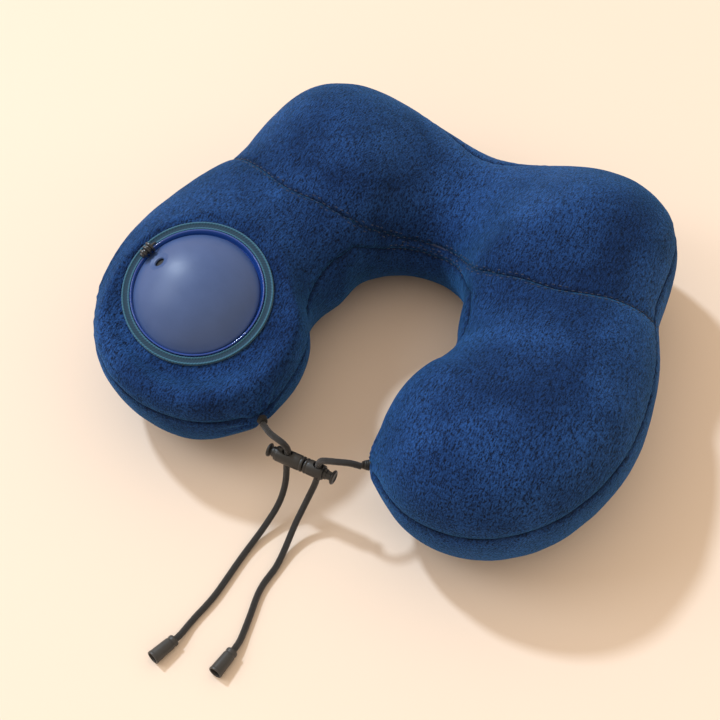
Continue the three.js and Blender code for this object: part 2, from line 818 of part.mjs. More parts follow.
function buildZip() {
  const arc = (inner, outer, low, high, from, to, segments = 12) =>
    sector(zipAxisY, inner, outer, zipHeight + low, zipHeight + high, from, to, segments);
  const guardInner = zipWallRadius + guardInset;
  const guard = arc(
    guardInner,
    guardInner + guardThickness,
    -guardHalfHeight,
    guardHalfHeight,
    -zipHalfAngle - 4,
    zipHalfAngle + 4,
  );
  addPiece(root, "zip_guard", guard, finish(velour, 0.95));

  const tapeLow = coilHalf + gap;
  const tapeAt = coilRadius - tapeThickness / 2;
  for (const [name, low, high] of [
    ["zip_tape_upper", tapeLow, tapeLow + tapeWidth],
    ["zip_tape_lower", -tapeLow - tapeWidth, -tapeLow],
  ]) {
    const tape = arc(tapeAt, tapeAt + tapeThickness, low, high, -zipHalfAngle - 3, zipHalfAngle + 3);
    addPiece(root, name, tape, finish(zipNavy, 0.9));
  }
  const coilTo = zipHalfAngle - 5;
  const coil = arc(coilRadius - 1, coilRadius + 1, -coilHalf, coilHalf, -coilTo, zipHalfAngle);
  addPiece(root, "zip_coil", coil, finish(zipNavy, 0.6));

  const stopGap = THREE.MathUtils.radToDeg(gap / coilRadius);
  const stop = arc(coilRadius - 1.3, coilRadius + 1.3, -coilHalf, coilHalf, zipHalfAngle + stopGap, zipHalfAngle + 3, 1);
  addPiece(root, "zip_stop", stop, finish(steel, 0.35, 1));

  const inner = coilRadius - 1 - gap;
  const outer = coilRadius + 1 + gap;
  const from = -coilTo - 4;
  const to = from + sliderSpan;
  const h = sliderHalfHeight;
  const front = toSolid(arc(inner - sliderPlate, inner, -h, h, from, to, 4));
  const rear = toSolid(arc(outer, outer + sliderPlate, -h, h, from, to, 4));
  const post = toSolid(arc(inner - 0.2, outer + 0.2, -0.8, 0.8, from + 0.5, -coilTo - stopGap, 1));
  addPiece(root, "zip_slider", front.add(rear).add(post), finish(zipMetal, 0.35, 0.6));

  const tabAngle = radians(from + sliderSpan / 2);
  const tabFace = inner - sliderPlate - gap;
  const tab = box([-1.6, 1.6], [tabFace - 0.8, tabFace], [-pullLength, 1]);
  addPiece(root, "zip_pull", tab.rotateZ(tabAngle).translate(0, zipAxisY, zipHeight), finish(zipMetal, 0.35, 0.6));
}

buildCover();
buildBladder();
buildAnchors();
buildPump();
buildLock();
buildCords();
buildCordEnd("left", leftRoute);
buildCordEnd("right", rightLowerRoute);
buildZip();

export default root;
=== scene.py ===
# U-shaped travel pillow: velour cover, press pump, corded lock. Metres, +Z up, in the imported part's frame.
import math

import bpy
import numpy as np
from mathutils import Matrix, Vector, noise
from mathutils.bvhtree import BVHTree
from mathutils.kdtree import KDTree


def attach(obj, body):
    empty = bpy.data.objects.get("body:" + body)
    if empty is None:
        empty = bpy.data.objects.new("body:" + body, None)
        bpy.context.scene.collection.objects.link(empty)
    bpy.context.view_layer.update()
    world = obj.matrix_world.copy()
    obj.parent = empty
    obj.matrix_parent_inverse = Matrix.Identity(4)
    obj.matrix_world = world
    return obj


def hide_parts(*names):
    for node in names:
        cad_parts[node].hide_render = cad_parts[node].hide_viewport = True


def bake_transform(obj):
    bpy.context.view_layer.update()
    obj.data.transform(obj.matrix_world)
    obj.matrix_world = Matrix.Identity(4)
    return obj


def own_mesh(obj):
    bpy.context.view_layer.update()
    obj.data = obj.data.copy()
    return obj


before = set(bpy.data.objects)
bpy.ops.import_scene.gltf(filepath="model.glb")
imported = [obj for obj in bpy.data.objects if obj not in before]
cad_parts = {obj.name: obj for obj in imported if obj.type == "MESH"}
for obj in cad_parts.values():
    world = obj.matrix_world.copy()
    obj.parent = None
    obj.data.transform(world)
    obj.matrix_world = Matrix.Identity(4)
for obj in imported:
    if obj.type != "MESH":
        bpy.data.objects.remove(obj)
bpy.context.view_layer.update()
mm = 0.001


# camera

view = {
    "place": (0.2418, -0.5331, 0.7555),
    "right": (0.890, 0.4556, 0.0),
    "up": (-0.363, 0.709, 0.604),
    "angle": 27.5,
}
back = Vector(view["right"]).cross(Vector(view["up"])).normalized()
turn = Matrix((Vector(view["right"]), Vector(view["up"]), back)).transposed().to_4x4()
bpy.ops.object.camera_add(location=view["place"])
camera = bpy.context.object
camera.matrix_world = Matrix.Translation(view["place"]) @ turn
camera.data.angle = math.radians(view["angle"])
bpy.context.scene.camera = camera
print("camera set")


# small tools

def newMesh(name, points, faces):
    mesh = bpy.data.meshes.new(name)
    mesh.from_pydata([tuple(p) for p in points], [], [tuple(int(i) for i in f) for f in faces])
    mesh.validate()
    piece = bpy.data.objects.new(name, mesh)
    bpy.context.scene.collection.objects.link(piece)
    return piece


def pickOnly(piece):
    bpy.ops.object.select_all(action="DESELECT")
    piece.select_set(True)
    bpy.context.view_layer.objects.active = piece


def applyModifier(piece, kind, **settings):
    pickOnly(piece)
    made = piece.modifiers.new(kind.title(), kind)
    for key, value in settings.items():
        setattr(made, key, value)
    bpy.ops.object.modifier_apply(modifier=made.name)


def faceOutward(piece):
    pickOnly(piece)
    bpy.ops.object.mode_set(mode="EDIT")
    bpy.ops.mesh.select_all(action="SELECT")
    bpy.ops.mesh.normals_make_consistent(inside=False)
    bpy.ops.object.mode_set(mode="OBJECT")


def smooth(piece, angle=35):
    pickOnly(piece)
    bpy.ops.object.shade_smooth_by_angle(angle=math.radians(angle))


def rounded(profile, radius, steps=4, closed=False):
    # corners of a profile turned into short curves, in the profile's own units
    points = [Vector(p) for p in profile]
    count = len(points)
    soft = []
    for i, corner in enumerate(points):
        if not closed and i in (0, count - 1):
            soft.append(tuple(corner))
            continue
        before, after = points[i - 1], points[(i + 1) % count]
        cut = min(radius, (before - corner).length * 0.45, (after - corner).length * 0.45)
        start = corner + (before - corner).normalized() * cut
        end = corner + (after - corner).normalized() * cut
        for k in range(steps + 1):
            t = k / steps
            soft.append(tuple(start * (1 - t) ** 2 + corner * 2 * t * (1 - t) + end * t * t))
    if closed:
        soft.append(soft[0])
    return soft


def turnPiece(name, profile, place, segments=96):
    # a ring at the first point of the profile, drawn out ring by ring along it, millimetres
    point = 0.002 * mm
    bpy.ops.object.select_all(action="DESELECT")
    radius, height = max(profile[0][0] * mm, point), profile[0][1] * mm
    bpy.ops.mesh.primitive_circle_add(vertices=segments, radius=radius, location=(0, 0, height))
    piece = bpy.context.object
    piece.name = piece.data.name = name
    bpy.ops.object.transform_apply(location=True, rotation=True, scale=True)
    bpy.ops.object.mode_set(mode="EDIT")
    bpy.ops.mesh.select_all(action="SELECT")
    for r, z in profile[1:]:
        nextRadius, nextHeight = max(r * mm, point), z * mm
        bpy.ops.mesh.extrude_region_move(
            TRANSFORM_OT_translate={"value": (0, 0, nextHeight - height)}
        )
        grow = nextRadius / radius
        bpy.ops.transform.resize(value=(grow, grow, 1), center_override=(0, 0, nextHeight))
        radius, height = nextRadius, nextHeight
    bpy.ops.mesh.select_all(action="SELECT")
    bpy.ops.mesh.remove_doubles(threshold=0.01 * mm)
    bpy.ops.mesh.normals_make_consistent(inside=False)
    bpy.ops.object.mode_set(mode="OBJECT")
    piece.data.transform(place)
    smooth(piece)
    return piece


def cutWith(piece, cutter):
    applyModifier(piece, "BOOLEAN", operation="DIFFERENCE", solver="EXACT", object=cutter)
    bpy.data.objects.remove(cutter)


def joinWith(piece, other):
    applyModifier(piece, "BOOLEAN", operation="UNION", solver="EXACT", object=other)
    bpy.data.objects.remove(other)


def paint(piece, surface):
    piece.data.materials.clear()
    piece.data.materials.append(surface)


def finishPiece(piece, surface, body, nodes=()):
    paint(piece, surface)
    if nodes:
        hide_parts(*nodes)
    if body:
        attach(piece, body)


# shader tools

class Wire:
    # a node's socket that can be added and scaled like a number
    def __init__(self, surface, socket):
        self.surface, self.socket = surface, socket

    def sum(self, operation, a, b):
        return self.surface.node("ShaderNodeMath", {"operation": operation}, {0: a, 1: b})

    def __add__(self, other):
        return self.sum("ADD", self, other)

    def __mul__(self, other):
        return self.sum("MULTIPLY", self, other)


class Surface:
    # one material, its shader and the nodes that feed it
    def __init__(self, name, **values):
        self.material = bpy.data.materials.new(name)
        self.material.use_nodes = True
        self.tree = self.material.node_tree
        self.shader = self.tree.nodes["Principled BSDF"]
        for key, value in values.items():
            self.shader.inputs[key.replace("_", " ").title().replace("Ior", "IOR")].default_value = value

    def node(self, kind, settings=None, inputs=None, output=0):
        made = self.tree.nodes.new(kind)
        for key, value in (settings or {}).items():
            setattr(made, key, value)
        for key, value in (inputs or {}).items():
            if isinstance(value, Wire):
                self.tree.links.new(value.socket, made.inputs[key])
            else:
                made.inputs[key].default_value = value
        return Wire(self, made.outputs[output])

    def place(self, scale=(1, 1, 1), turned=(0, 0, 0)):
        spot = self.node("ShaderNodeTexCoord", output="Object")
        return self.node("ShaderNodeMapping", None, {"Vector": spot, "Scale": scale, "Rotation": turned})

    def along(self, scale=(1, 1, 1)):
        spot = self.node("ShaderNodeTexCoord", output="UV")
        return self.node("ShaderNodeMapping", None, {"Vector": spot, "Scale": scale})

    def grain(self, vector, scale, detail=2.0, rough=0.5, warp=0.0):
        values = {"Vector": vector, "Scale": scale, "Detail": detail, "Roughness": rough, "Distortion": warp}
        return self.node("ShaderNodeTexNoise", None, values)

    def spread(self, wire, low, high, to=(0.0, 1.0)):
        values = {"Value": wire, "From Min": low, "From Max": high, "To Min": to[0], "To Max": to[1]}
        return self.node("ShaderNodeMapRange", {"clamp": True}, values)

    def blend(self, share, a, b):
        return self.node("ShaderNodeMix", {"data_type": "RGBA"}, {0: share, 6: a, 7: b}, output=2)

    def feed(self, **links):
        for key, wire in links.items():
            socket = self.shader.inputs[key.replace("_", " ").title()]
            self.tree.links.new(wire.socket, socket)
        return self.material

    def relief(self, height, strength, depth):
        return self.node("ShaderNodeBump", None, {"Height": height, "Strength": strength, "Distance": depth})


def shade(r, g, b):
    return (r, g, b, 1.0)


# finishes

velourLook = {
    "deep": shade(0.0016, 0.0054, 0.022),
    "mid": shade(0.0056, 0.0230, 0.098),
    "bright": shade(0.024, 0.105, 0.375),
    "sheen": shade(0.08, 0.42, 1.0),
    "patch": 12.0,
    "tuft": 1000.0,
    "fibre": 1150.0,
}


def velour():
    look = velourLook
    cloth = Surface(
        "velourPile", roughness=0.92, specular_ior_level=0.12, sheen_weight=0.34, sheen_roughness=0.40,
        sheen_tint=look["sheen"],
    )
    spot = cloth.place()
    stroke = cloth.grain(spot, look["patch"], 2.0, 0.5, 0.8)  # where a hand has brushed the pile
    small = cloth.grain(spot, look["patch"] * 3.2, 2.0, 0.55, 0.5)
    tuft = cloth.grain(spot, look["tuft"], 2.5, 0.6, 0.3)
    fibre = cloth.grain(cloth.place((1.0, 0.30, 0.6), (0.3, 0.2, 0.9)), look["fibre"], 1.0, 0.5, 0.4)
    lie = cloth.spread(stroke * 0.7 + small * 0.3, 0.36, 0.64)
    speck = cloth.spread(tuft * 0.5 + fibre * 0.5, 0.38, 0.62)
    # painted shade: the pile colour is darkened towards the deep tone along the seams, read from the seam
    # shade attribute
    paintedSeamShade = cloth.node("ShaderNodeAttribute", {"attribute_name": "paintedSeamShade"}, output="Fac")
    body = cloth.blend(speck, look["deep"], look["mid"])
    lit = cloth.blend(speck * (lie * 0.58 + 0.09), body, look["bright"])
    colour = cloth.blend(paintedSeamShade * 0.72, lit, look["deep"])
    height = tuft * 0.5 + fibre * 0.6 + small * 0.5
    bump = cloth.relief(height, 0.9, 0.0013)
    rough = cloth.spread(lie, 0.0, 1.0, (0.97, 0.80))
    return cloth.feed(base_color=colour, roughness=rough, normal=bump)


def knit():
    band = Surface(
        "knitBand", roughness=0.85, sheen_weight=0.4, sheen_roughness=0.4, sheen_tint=shade(0.5, 0.8, 1.0),
    )
    rows = band.node(
        "ShaderNodeTexWave",
        {"bands_direction": "DIAGONAL"},
        {"Vector": band.along((190.0, 26.0, 1.0)), "Scale": 0.31, "Distortion": 2.2, "Detail": 1.0},
        output="Fac",
    )
    fuzz = band.grain(band.place(), 1100.0, 2.0)
    spot = band.spread(rows * 0.6 + fuzz * 0.5, 0.3, 0.8)
    colour = band.blend(spot, shade(0.006, 0.036, 0.075), shade(0.055, 0.190, 0.300))
    # painted highlight: the edge attribute lightens the band's raised beads
    edge = band.node("ShaderNodeAttribute", {"attribute_name": "edge"}, output="Fac")
    colour = band.blend(edge * 0.6, colour, shade(0.060, 0.220, 0.360))
    bump = band.relief(rows * 0.6 + fuzz * 0.4, 0.6, 0.0006)
    return band.feed(base_color=colour, normal=bump)


def moulded(
    name, colour, lighter, roughness, grain=2200.0, bumpDepth=0.00005, coat=0.0, wear=0.25, metal=0.0,
):
    # moulded plastic or rubber: fine grain, soft cloudiness in the gloss
    skin = Surface(name, roughness=roughness, coat_weight=coat, coat_roughness=0.08, metallic=metal)
    spot = skin.place()
    cloud = skin.grain(spot, 95.0, 3.0, 0.55)
    pits = skin.grain(spot, grain, 2.0, 0.5)
    tint = skin.blend(skin.spread(cloud, 0.35, 0.75) * wear, colour, lighter)
    gloss = skin.spread(cloud * 0.6 + pits * 0.4, 0.3, 0.7, (roughness * 0.86, roughness * 1.14))
    return skin.feed(base_color=tint, roughness=gloss, normal=skin.relief(pits, 0.5, bumpDepth))


def braid():
    rope = Surface(
        "braidedCord", roughness=0.55, sheen_weight=0.25, sheen_roughness=0.3,
        sheen_tint=shade(0.8, 0.8, 0.85),
    )
    plaits = []
    for lean in (1.0, -1.0):
        strand = rope.node("ShaderNodeMapping", None, {
            "Vector": rope.node("ShaderNodeTexCoord", output="UV"),
            "Rotation": (0.0, 0.0, lean * 0.785),
            "Scale": (1.0, 1.0, 1.0),
        })
        bands = {"Vector": strand, "Scale": 1.9, "Distortion": 0.0}
        plaits.append(rope.node("ShaderNodeTexWave", {"bands_direction": "X"}, bands, output="Fac"))
    weave = plaits[0] * plaits[1]
    fray = rope.grain(rope.place(), 2600.0, 2.0)
    tone = rope.spread(weave + fray * 0.35, 0.1, 1.1)
    colour = rope.blend(tone, shade(0.0035, 0.0035, 0.004), shade(0.024, 0.023, 0.024))
    return rope.feed(base_color=colour, normal=rope.relief(weave + fray * 0.3, 0.6, 0.0003))


def woven(name, colour, lighter, threads=1800.0):
    tape = Surface(name, roughness=0.85, sheen_weight=0.2)
    lines = tape.node(
        "ShaderNodeTexWave", {"bands_direction": "Z"},
        {"Vector": tape.place(), "Scale": threads / 6.3, "Distortion": 0.6}, output="Fac",
    )
    fuzz = tape.grain(tape.place(), threads, 2.0)
    mix = tape.spread(lines * 0.6 + fuzz * 0.5, 0.25, 0.85)
    return tape.feed(base_color=tape.blend(mix, colour, lighter), normal=tape.relief(mix, 0.5, 0.0003))


velourPile = velour()
knitBand = knit()
braidedCord = braid()
domeSkin = moulded(
    "domeSkin", shade(0.040, 0.082, 0.225), shade(0.058, 0.108, 0.28), 0.44, 3200.0, 0.00004, 0.0, 0.35,
)
collarGloss = moulded(
    "collarGloss", shade(0.012, 0.055, 0.30), shade(0.022, 0.09, 0.40), 0.10, 1500.0, 0.00002, 0.6,
)
basePlastic = moulded("basePlastic", shade(0.012, 0.035, 0.14), shade(0.03, 0.08, 0.28), 0.32)
flapRubber = moulded("flapRubber", shade(0.012, 0.012, 0.013), shade(0.03, 0.03, 0.032), 0.6)
plugRubber = moulded(
    "plugRubber", shade(0.004, 0.006, 0.012), shade(0.012, 0.016, 0.028), 0.3, 1800.0, 0.00003, 0.3,
)
lockPlastic = moulded(
    "lockPlastic", shade(0.0085, 0.0085, 0.0092), shade(0.022, 0.022, 0.024), 0.34, 2400.0, 0.00006,
)
bellPlastic = moulded(
    "bellPlastic", shade(0.026, 0.026, 0.027), shade(0.06, 0.06, 0.062), 0.42, 2000.0, 0.00008,
)
springSteel = moulded(
    "springSteel", shade(0.45, 0.45, 0.46), shade(0.6, 0.6, 0.6), 0.25, 3000.0, 0.00002, 0.0, 0.5, 1.0,
)
zipPaint = moulded(
    "zipPaint", shade(0.012, 0.014, 0.02), shade(0.05, 0.05, 0.06), 0.3, 1800.0, 0.00004, 0.3, 0.4, 0.6,
)
bladderFilm = moulded("bladderFilm", shade(0.20, 0.27, 0.36), shade(0.33, 0.40, 0.48), 0.4, 700.0, 0.0002)
zipCoilNylon = woven("zipCoilNylon", shade(0.006, 0.012, 0.04), shade(0.02, 0.035, 0.10), 900.0)
zipTapeCloth = woven("zipTapeCloth", shade(0.006, 0.012, 0.04), shade(0.015, 0.03, 0.10))
seamThread = woven("seamThread", shade(0.004, 0.010, 0.034), shade(0.012, 0.030, 0.090), 2600.0)
print("finishes made")


# cords

cords = {
    "radius": 2.0,
    "sides": 28,
    "step": 0.8,
    "plaits": 6,
    "plaitLength": 7.0,
    "relief": 0.055,
    "left": [
        (-32.3, -122.4, 46.4), (-29.9, -124.1, 47.4), (-26.7, -126.4, 48.7), (-23.1, -128.4, 49.8),
        (-19.2, -129.8, 50.5), (-15.4, -130.3, 49.6), (-12.7, -130.3, 47), (-11.5, -130.3, 43.5),
        (-11.5, -130.9, 40.8), (-11.5, -131.5, 38), (-11.5, -132.1, 35.2), (-11.4, -132.9, 31.6),
        (-10.9, -134.3, 27.3), (-10.2, -136.6, 22.6), (-9.7, -140, 17.8), (-9.5, -144.8, 13.2),
        (-9.9, -150.6, 9.6), (-10.8, -157.3, 6.8), (-11.8, -164.5, 4.6), (-12.9, -172.2, 3),
        (-13.8, -180, 2.2), (-14.4, -190, 2.1), (-14.8, -202, 2.1), (-15.4, -213, 2.1),
        (-16.6, -221.5, 2.1), (-18.1, -229.3, 2.1), (-19.1, -236.5, 2.3), (-19.5, -241.5, 2.9),
        (-20.1, -246, 3.55), (-21.6, -250.4, 3.75), (-22.2, -252.3, 3.83),
    ],
    "rightUpper": [
        (32.2, -122.3, 46.5), (29.8, -123.5, 47.9), (26.5, -125.3, 49.7), (22.8, -127.5, 51),
        (18.9, -129.4, 51.6), (15, -130.4, 50.9), (11.3, -130.5, 48.6), (9.2, -130.3, 45),
        (8.8, -130.6, 42),
    ],
    "rightLower": [
        (8.8, -131.5, 38), (8.8, -132.1, 35.2), (8.7, -132.9, 31.6), (8.2, -134.9, 27.3),
        (7.3, -137.9, 22.8), (6.4, -142, 18.2), (5.7, -147.2, 13.8), (5.3, -153.2, 10.2),
        (5.5, -159.8, 7.2), (6, -166.6, 4.8), (6.6, -174.3, 3.1), (6.8, -181.4, 2.2),
        (6.3, -187.5, 2.1), (5.8, -193.5, 2.1), (6, -199.5, 2.1), (6.9, -205.5, 2.1),
        (8.3, -212, 2.1), (9.7, -219.3, 2.1), (11, -226.5, 2.2), (11.8, -231.8, 2.7),
        (11.9, -237, 3.5), (11.4, -241.3, 3.75), (11.1, -243.8, 3.85),
    ],
}


def smoothPath(points, step, squareRoot=0.5):
    # centripetal curve through the points, then points at an even step along it
    p = np.array(points, float)
    p = np.vstack([2 * p[0] - p[1], p, 2 * p[-1] - p[-2]])
    fine = []
    for i in range(1, len(p) - 2):
        k = [0.0]
        for j in range(i - 1, i + 2):
            k.append(k[-1] + max(np.linalg.norm(p[j + 1] - p[j]), 1e-6) ** squareRoot)
        for t in np.linspace(k[1], k[2], 24, endpoint=False):
            a = [
                (p[i - 1 + m] * (k[m + 1] - t) + p[i + m] * (t - k[m])) / (k[m + 1] - k[m])
                for m in range(3)
            ]
            b = [(a[m] * (k[m + 2] - t) + a[m + 1] * (t - k[m])) / (k[m + 2] - k[m]) for m in range(2)]
            fine.append((b[0] * (k[2] - t) + b[1] * (t - k[1])) / (k[2] - k[1]))
    fine.append(p[-2])
    return evenPath(np.array(fine), step)


def evenPath(fine, step):
    run = np.concatenate([[0], np.cumsum(np.linalg.norm(np.diff(fine, axis=0), axis=1))])
    at = np.linspace(0, run[-1], max(2, int(round(run[-1] / step)) + 1))
    return np.stack([np.interp(at, run, fine[:, k]) for k in range(3)], axis=1)


def sweep(name, path, radiusAt, sides, closed=False):
    # a tube of rings along the path that never twists; its UV map counts turns round and diameters along
    count = len(path)
    tangents = np.gradient(path, axis=0)
    if closed:
        tangents = np.roll(path, -1, axis=0) - np.roll(path, 1, axis=0)
    tangents /= np.linalg.norm(tangents, axis=1)[:, None]
    across = Vector(tangents[0]).orthogonal().normalized()
    run = np.concatenate([[0], np.cumsum(np.linalg.norm(np.diff(path, axis=0), axis=1))])
    rings = []
    for i in range(count):
        if i:
            bend = Vector(tangents[i - 1]).rotation_difference(Vector(tangents[i]))
            across = (bend @ across).normalized()
        other = Vector(tangents[i]).cross(across)
        for k in range(sides):
            a = 2 * math.pi * k / sides
            r = radiusAt(run[i], k / sides)
            rings.append(Vector(path[i]) + (across * math.cos(a) + other * math.sin(a)) * r)
    faces, marks = [], []
    for i in range(count if closed else count - 1):
        j = (i + 1) % count
        for k in range(sides):
            n = (k + 1) % sides
            faces.append((i * sides + k, i * sides + n, j * sides + n, j * sides + k))
            v0, v1 = run[i], run[i + 1] if i + 1 < count else run[i]
            marks += [(k / sides, v0), ((k + 1) / sides, v0), ((k + 1) / sides, v1), (k / sides, v1)]
    if not closed:
        for ring, outward in ((0, False), (count - 1, True)):
            middle = len(rings)
            rings.append(Vector(path[ring]))
            for k in range(sides):
                a, b = ring * sides + k, ring * sides + (k + 1) % sides
                faces.append((a, b, middle) if outward else (b, a, middle))
                marks += [(0.5, run[ring])] * 3
    piece = newMesh(name, [r * mm for r in rings], faces)
    layer = piece.data.uv_layers.new(name="run")
    width = 2 * math.pi * radiusAt(0, 0)
    for loop, (u, v) in zip(layer.data, marks):
        loop.uv = (u * width, v)
    piece.data.shade_smooth()
    return piece


def plaitRadius(run, share):
    turn = 2 * math.pi * cords["plaits"] / 2 * share
    along = 2 * math.pi * run / cords["plaitLength"]
    weave = 0.5 - 0.5 * math.cos(turn + along) * math.cos(turn - along)
    return cords["radius"] * (1 - cords["relief"] * weave)


def pathLength(path):
    return float(np.linalg.norm(np.diff(path, axis=0), axis=1).sum()) * mm


leftPath = smoothPath(cords["left"], cords["step"])
rightPath = smoothPath(cords["rightUpper"] + cords["rightLower"], cords["step"])
cordLeft = sweep("cordLeft", leftPath, plaitRadius, cords["sides"])
cordRight = sweep("cordRight", rightPath, plaitRadius, cords["sides"])
finishPiece(cordLeft, braidedCord, "pillow", ["cord_left"])
finishPiece(cordRight, braidedCord, None, ["cord_right_upper", "cord_right_lower"])
print("cords laid, mm:", round(pathLength(leftPath) * 1000), round(pathLength(rightPath) * 1000))


# pillow shape

pillow = {
    "axisY": -25.0,
    "stations": [  # angle from the back centre, outer radius, inner radius, height
        (0, 166, 68, 66), (39.5, 198, 52.5, 100), (66.5, 166, 44, 90), (114.5, 174, 47, 98),
        (157.5, 156, 34, 100),
    ],
    "squareness": 2.3,
    "underSag": 3.0,
    "tipRounding": 64.5,
    "capShare": 0.19,
    "tipPull": 5.0,
    "tipReach": 28.0,
    "noseShift": 6.0,
    "noseDrop": 5.5,
    "along": 340,
    "around": 180,
    "cloth": 2.0,
}
pump = {
    "centre": Vector((-102.89, -73.86, 76.0)),
    "axis": Vector((0.09946, -0.30748, 0.94634)).normalized(),
    "seat": 50.0,
    "seatBlend": 30.0,
    "hole": 45.4,
}


def throughStations(column):
    x = [s[0] for s in pillow["stations"]]
    y = [s[column] for s in pillow["stations"]]
    step = [b - a for a, b in zip(x, x[1:])]
    rise = [(y[i + 1] - y[i]) / step[i] for i in range(len(step))]
    slope = [0.0]
    for i in range(1, len(x) - 1):
        if rise[i - 1] * rise[i] <= 0:
            slope.append(0.0)
            continue
        w1, w2 = 2 * step[i] + step[i - 1], step[i] + 2 * step[i - 1]
        slope.append((w1 + w2) / (w1 / rise[i - 1] + w2 / rise[i]))
    h0, h1 = step[-1], step[-2]
    last = ((2 * h0 + h1) * rise[-1] - h0 * rise[-2]) / (h0 + h1)
    slope.append(last if last * rise[-1] > 0 else 0.0)

    def value(angle):
        at = np.minimum(np.abs(angle), x[-1])
        i = np.clip(np.searchsorted(x, at, side="right") - 1, 0, len(step) - 1)
        gx, gy, gs, gm = np.array(x, float), np.array(y, float), np.array(step), np.array(slope)
        t = (at - gx[i]) / gs[i]
        bend = t * t * (3 - 2 * t)
        leave = t * (1 - t) ** 2 * gs[i] * gm[i]
        arrive = t * t * (t - 1) * gs[i] * gm[i + 1]
        return gy[i] + (gy[i + 1] - gy[i]) * bend + leave + arrive

    return value


outerRadius, innerRadius, crownHeight = (throughStations(k) for k in (1, 2, 3))
tipAngle, tipOuter, tipInner, tipHeight = pillow["stations"][-1]
tipMiddle = (tipOuter + tipInner) / 2


def polar(angle, radius, z):
    a = np.radians(angle)
    return np.stack([radius * np.sin(a), pillow["axisY"] + radius * np.cos(a), z + 0 * radius], axis=-1)


def smoothStep(value, low, high):
    t = np.clip((value - low) / (high - low), 0, 1)
    return t * t * (3 - 2 * t)


def nose(side):
    a = math.radians(tipAngle)
    outward = np.array([side * math.sin(a), math.cos(a), 0])
    forward = np.array([side * math.cos(a), -math.sin(a), 0])
    base = polar(
        side * tipAngle, np.array(tipMiddle), tipHeight / 2 - pillow["noseDrop"],
    ) + outward * pillow["noseShift"]
    return base, forward, outward


def pillowPoints(along, turn):
    # skin of the pillow: along runs 0 to 1 from the left arm's end to the right one's,
    # and turn goes round the section
    side = np.where(along < 0.5, -1, 1)
    fromTip = np.minimum(along, 1 - along)
    roundAngle = math.degrees(pillow["tipRounding"] / tipMiddle)
    inCap = fromTip < pillow["capShare"]
    roll = np.minimum(fromTip / pillow["capShare"], 1) * math.pi / 2
    share = (0.5 - fromTip) / (0.5 - pillow["capShare"])
    angle = np.where(inCap, tipAngle - roundAngle * (1 - np.cos(roll)), (tipAngle - roundAngle) * share)
    size = np.where(inCap, np.sin(roll), 1.0)
    outer, inner, height = outerRadius(angle), innerRadius(angle), crownHeight(angle)
    bulge = lambda v: np.sign(v) * np.abs(v) ** (2 / pillow["squareness"])
    radius = (outer + inner) / 2 + (outer - inner) / 2 * size * bulge(np.cos(turn))
    z = (height - pillow["underSag"]) / 2 + (height + pillow["underSag"]) / 2 * size * bulge(np.sin(turn))
    points = polar(side * angle, radius, np.maximum(z, 0))
    for s in (-1, 1):
        base, forward, _ = nose(s)
        near = np.maximum(0, 1 - np.linalg.norm(points - base, axis=-1) / pillow["tipReach"])
        points = points + forward * (pillow["tipPull"] * near * near)[..., None]
    away = points - np.array(pump["centre"])
    lift = away @ np.array(pump["axis"])
    spread = np.linalg.norm(away - lift[..., None] * np.array(pump["axis"]), axis=-1)
    freed = smoothStep(spread, pump["seat"], pump["seat"] + pump["seatBlend"])
    drop = np.where(lift > 0, lift * (1 - freed), 0)
    return points - drop[..., None] * np.array(pump["axis"]), side * angle


rows, columns = pillow["around"], pillow["along"]
alongGrid, turnGrid = np.meshgrid(
    np.arange(1, columns) / columns, 2 * np.pi * np.arange(rows) / rows, indexing="ij",
)
skin, skinAngle = pillowPoints(alongGrid, turnGrid)
poles, _ = pillowPoints(np.array([0.0, 1.0]), np.array([0.0, 0.0]))
points = np.vstack([skin.reshape(-1, 3), poles])
ringCount = columns - 1
triangles = []
for i in range(ringCount - 1):
    k = np.arange(rows)
    n = (k + 1) % rows
    a, b, c, d = i * rows + k, i * rows + n, (i + 1) * rows + n, (i + 1) * rows + k
    triangles += [np.stack([a, b, c], 1), np.stack([a, c, d], 1)]
k = np.arange(rows)
n = (k + 1) % rows
firstPole, lastPole = len(points) - 2, len(points) - 1
lastRing = (ringCount - 1) * rows
triangles.append(np.stack([n, k, k * 0 + firstPole], 1))
triangles.append(np.stack([lastRing + k, lastRing + n, k * 0 + lastPole], 1))
triangles = np.vstack(triangles)
first, second, third = (points[triangles[:, j]] for j in range(3))
normalHint = np.cross(second - first, third - first)
centres = points[triangles].mean(axis=1)
middleAngle = np.degrees(np.arctan2(centres[:, 0], centres[:, 1] - pillow["axisY"]))
middleOf = polar(middleAngle, np.full(len(centres), 110.0), np.full(len(centres), 48.0))
if (np.einsum("ij,ij->i", normalHint, centres - middleOf) > 0).mean() < 0.5:
    triangles = triangles[:, ::-1]
print("pillow skin:", len(points), "points")


# seams

seams = {
    # angle, height of the edge seam
    "outerHeight": [(0, 60), (39.5, 66), (66.5, 63), (114.5, 60), (150, 50), (180, 48)],
    "innerHeight": [
        (0, 41), (11, 44.5), (18, 48), (27, 52), (48, 66), (66.5, 66), (90, 62), (120, 55), (150, 49),
        (180, 48),
    ],
    "cross": [  # angle, radius, height of the seam between hump and arm, then along the neck wall
        (66.5, 176, 50), (66.5, 164, 66), (66.5, 150, 82), (66.5, 128, 90), (66.3, 108, 90),
        (64.5, 94, 89.5), (60, 82, 88),
        (54, 69, 85), (46.5, 61.5, 81), (39.5, 57, 76), (28.7, 60, 67), (17, 65.5, 56), (6, 70, 50.7),
        (0, 70.5, 50),
    ],
    "guardAngle": 33.0,
    "creaseDepth": 0.9,
    "creaseWidth": 6.0,
    "lineDepth": 1.0,
    "lineWidth": 1.3,
    "pucker": 0.28,
    "puckerLength": 7.5,
}


def heightTable(key, angle):
    table = np.array(seams[key], float)
    return np.interp(np.abs(angle), table[:, 0], table[:, 1])


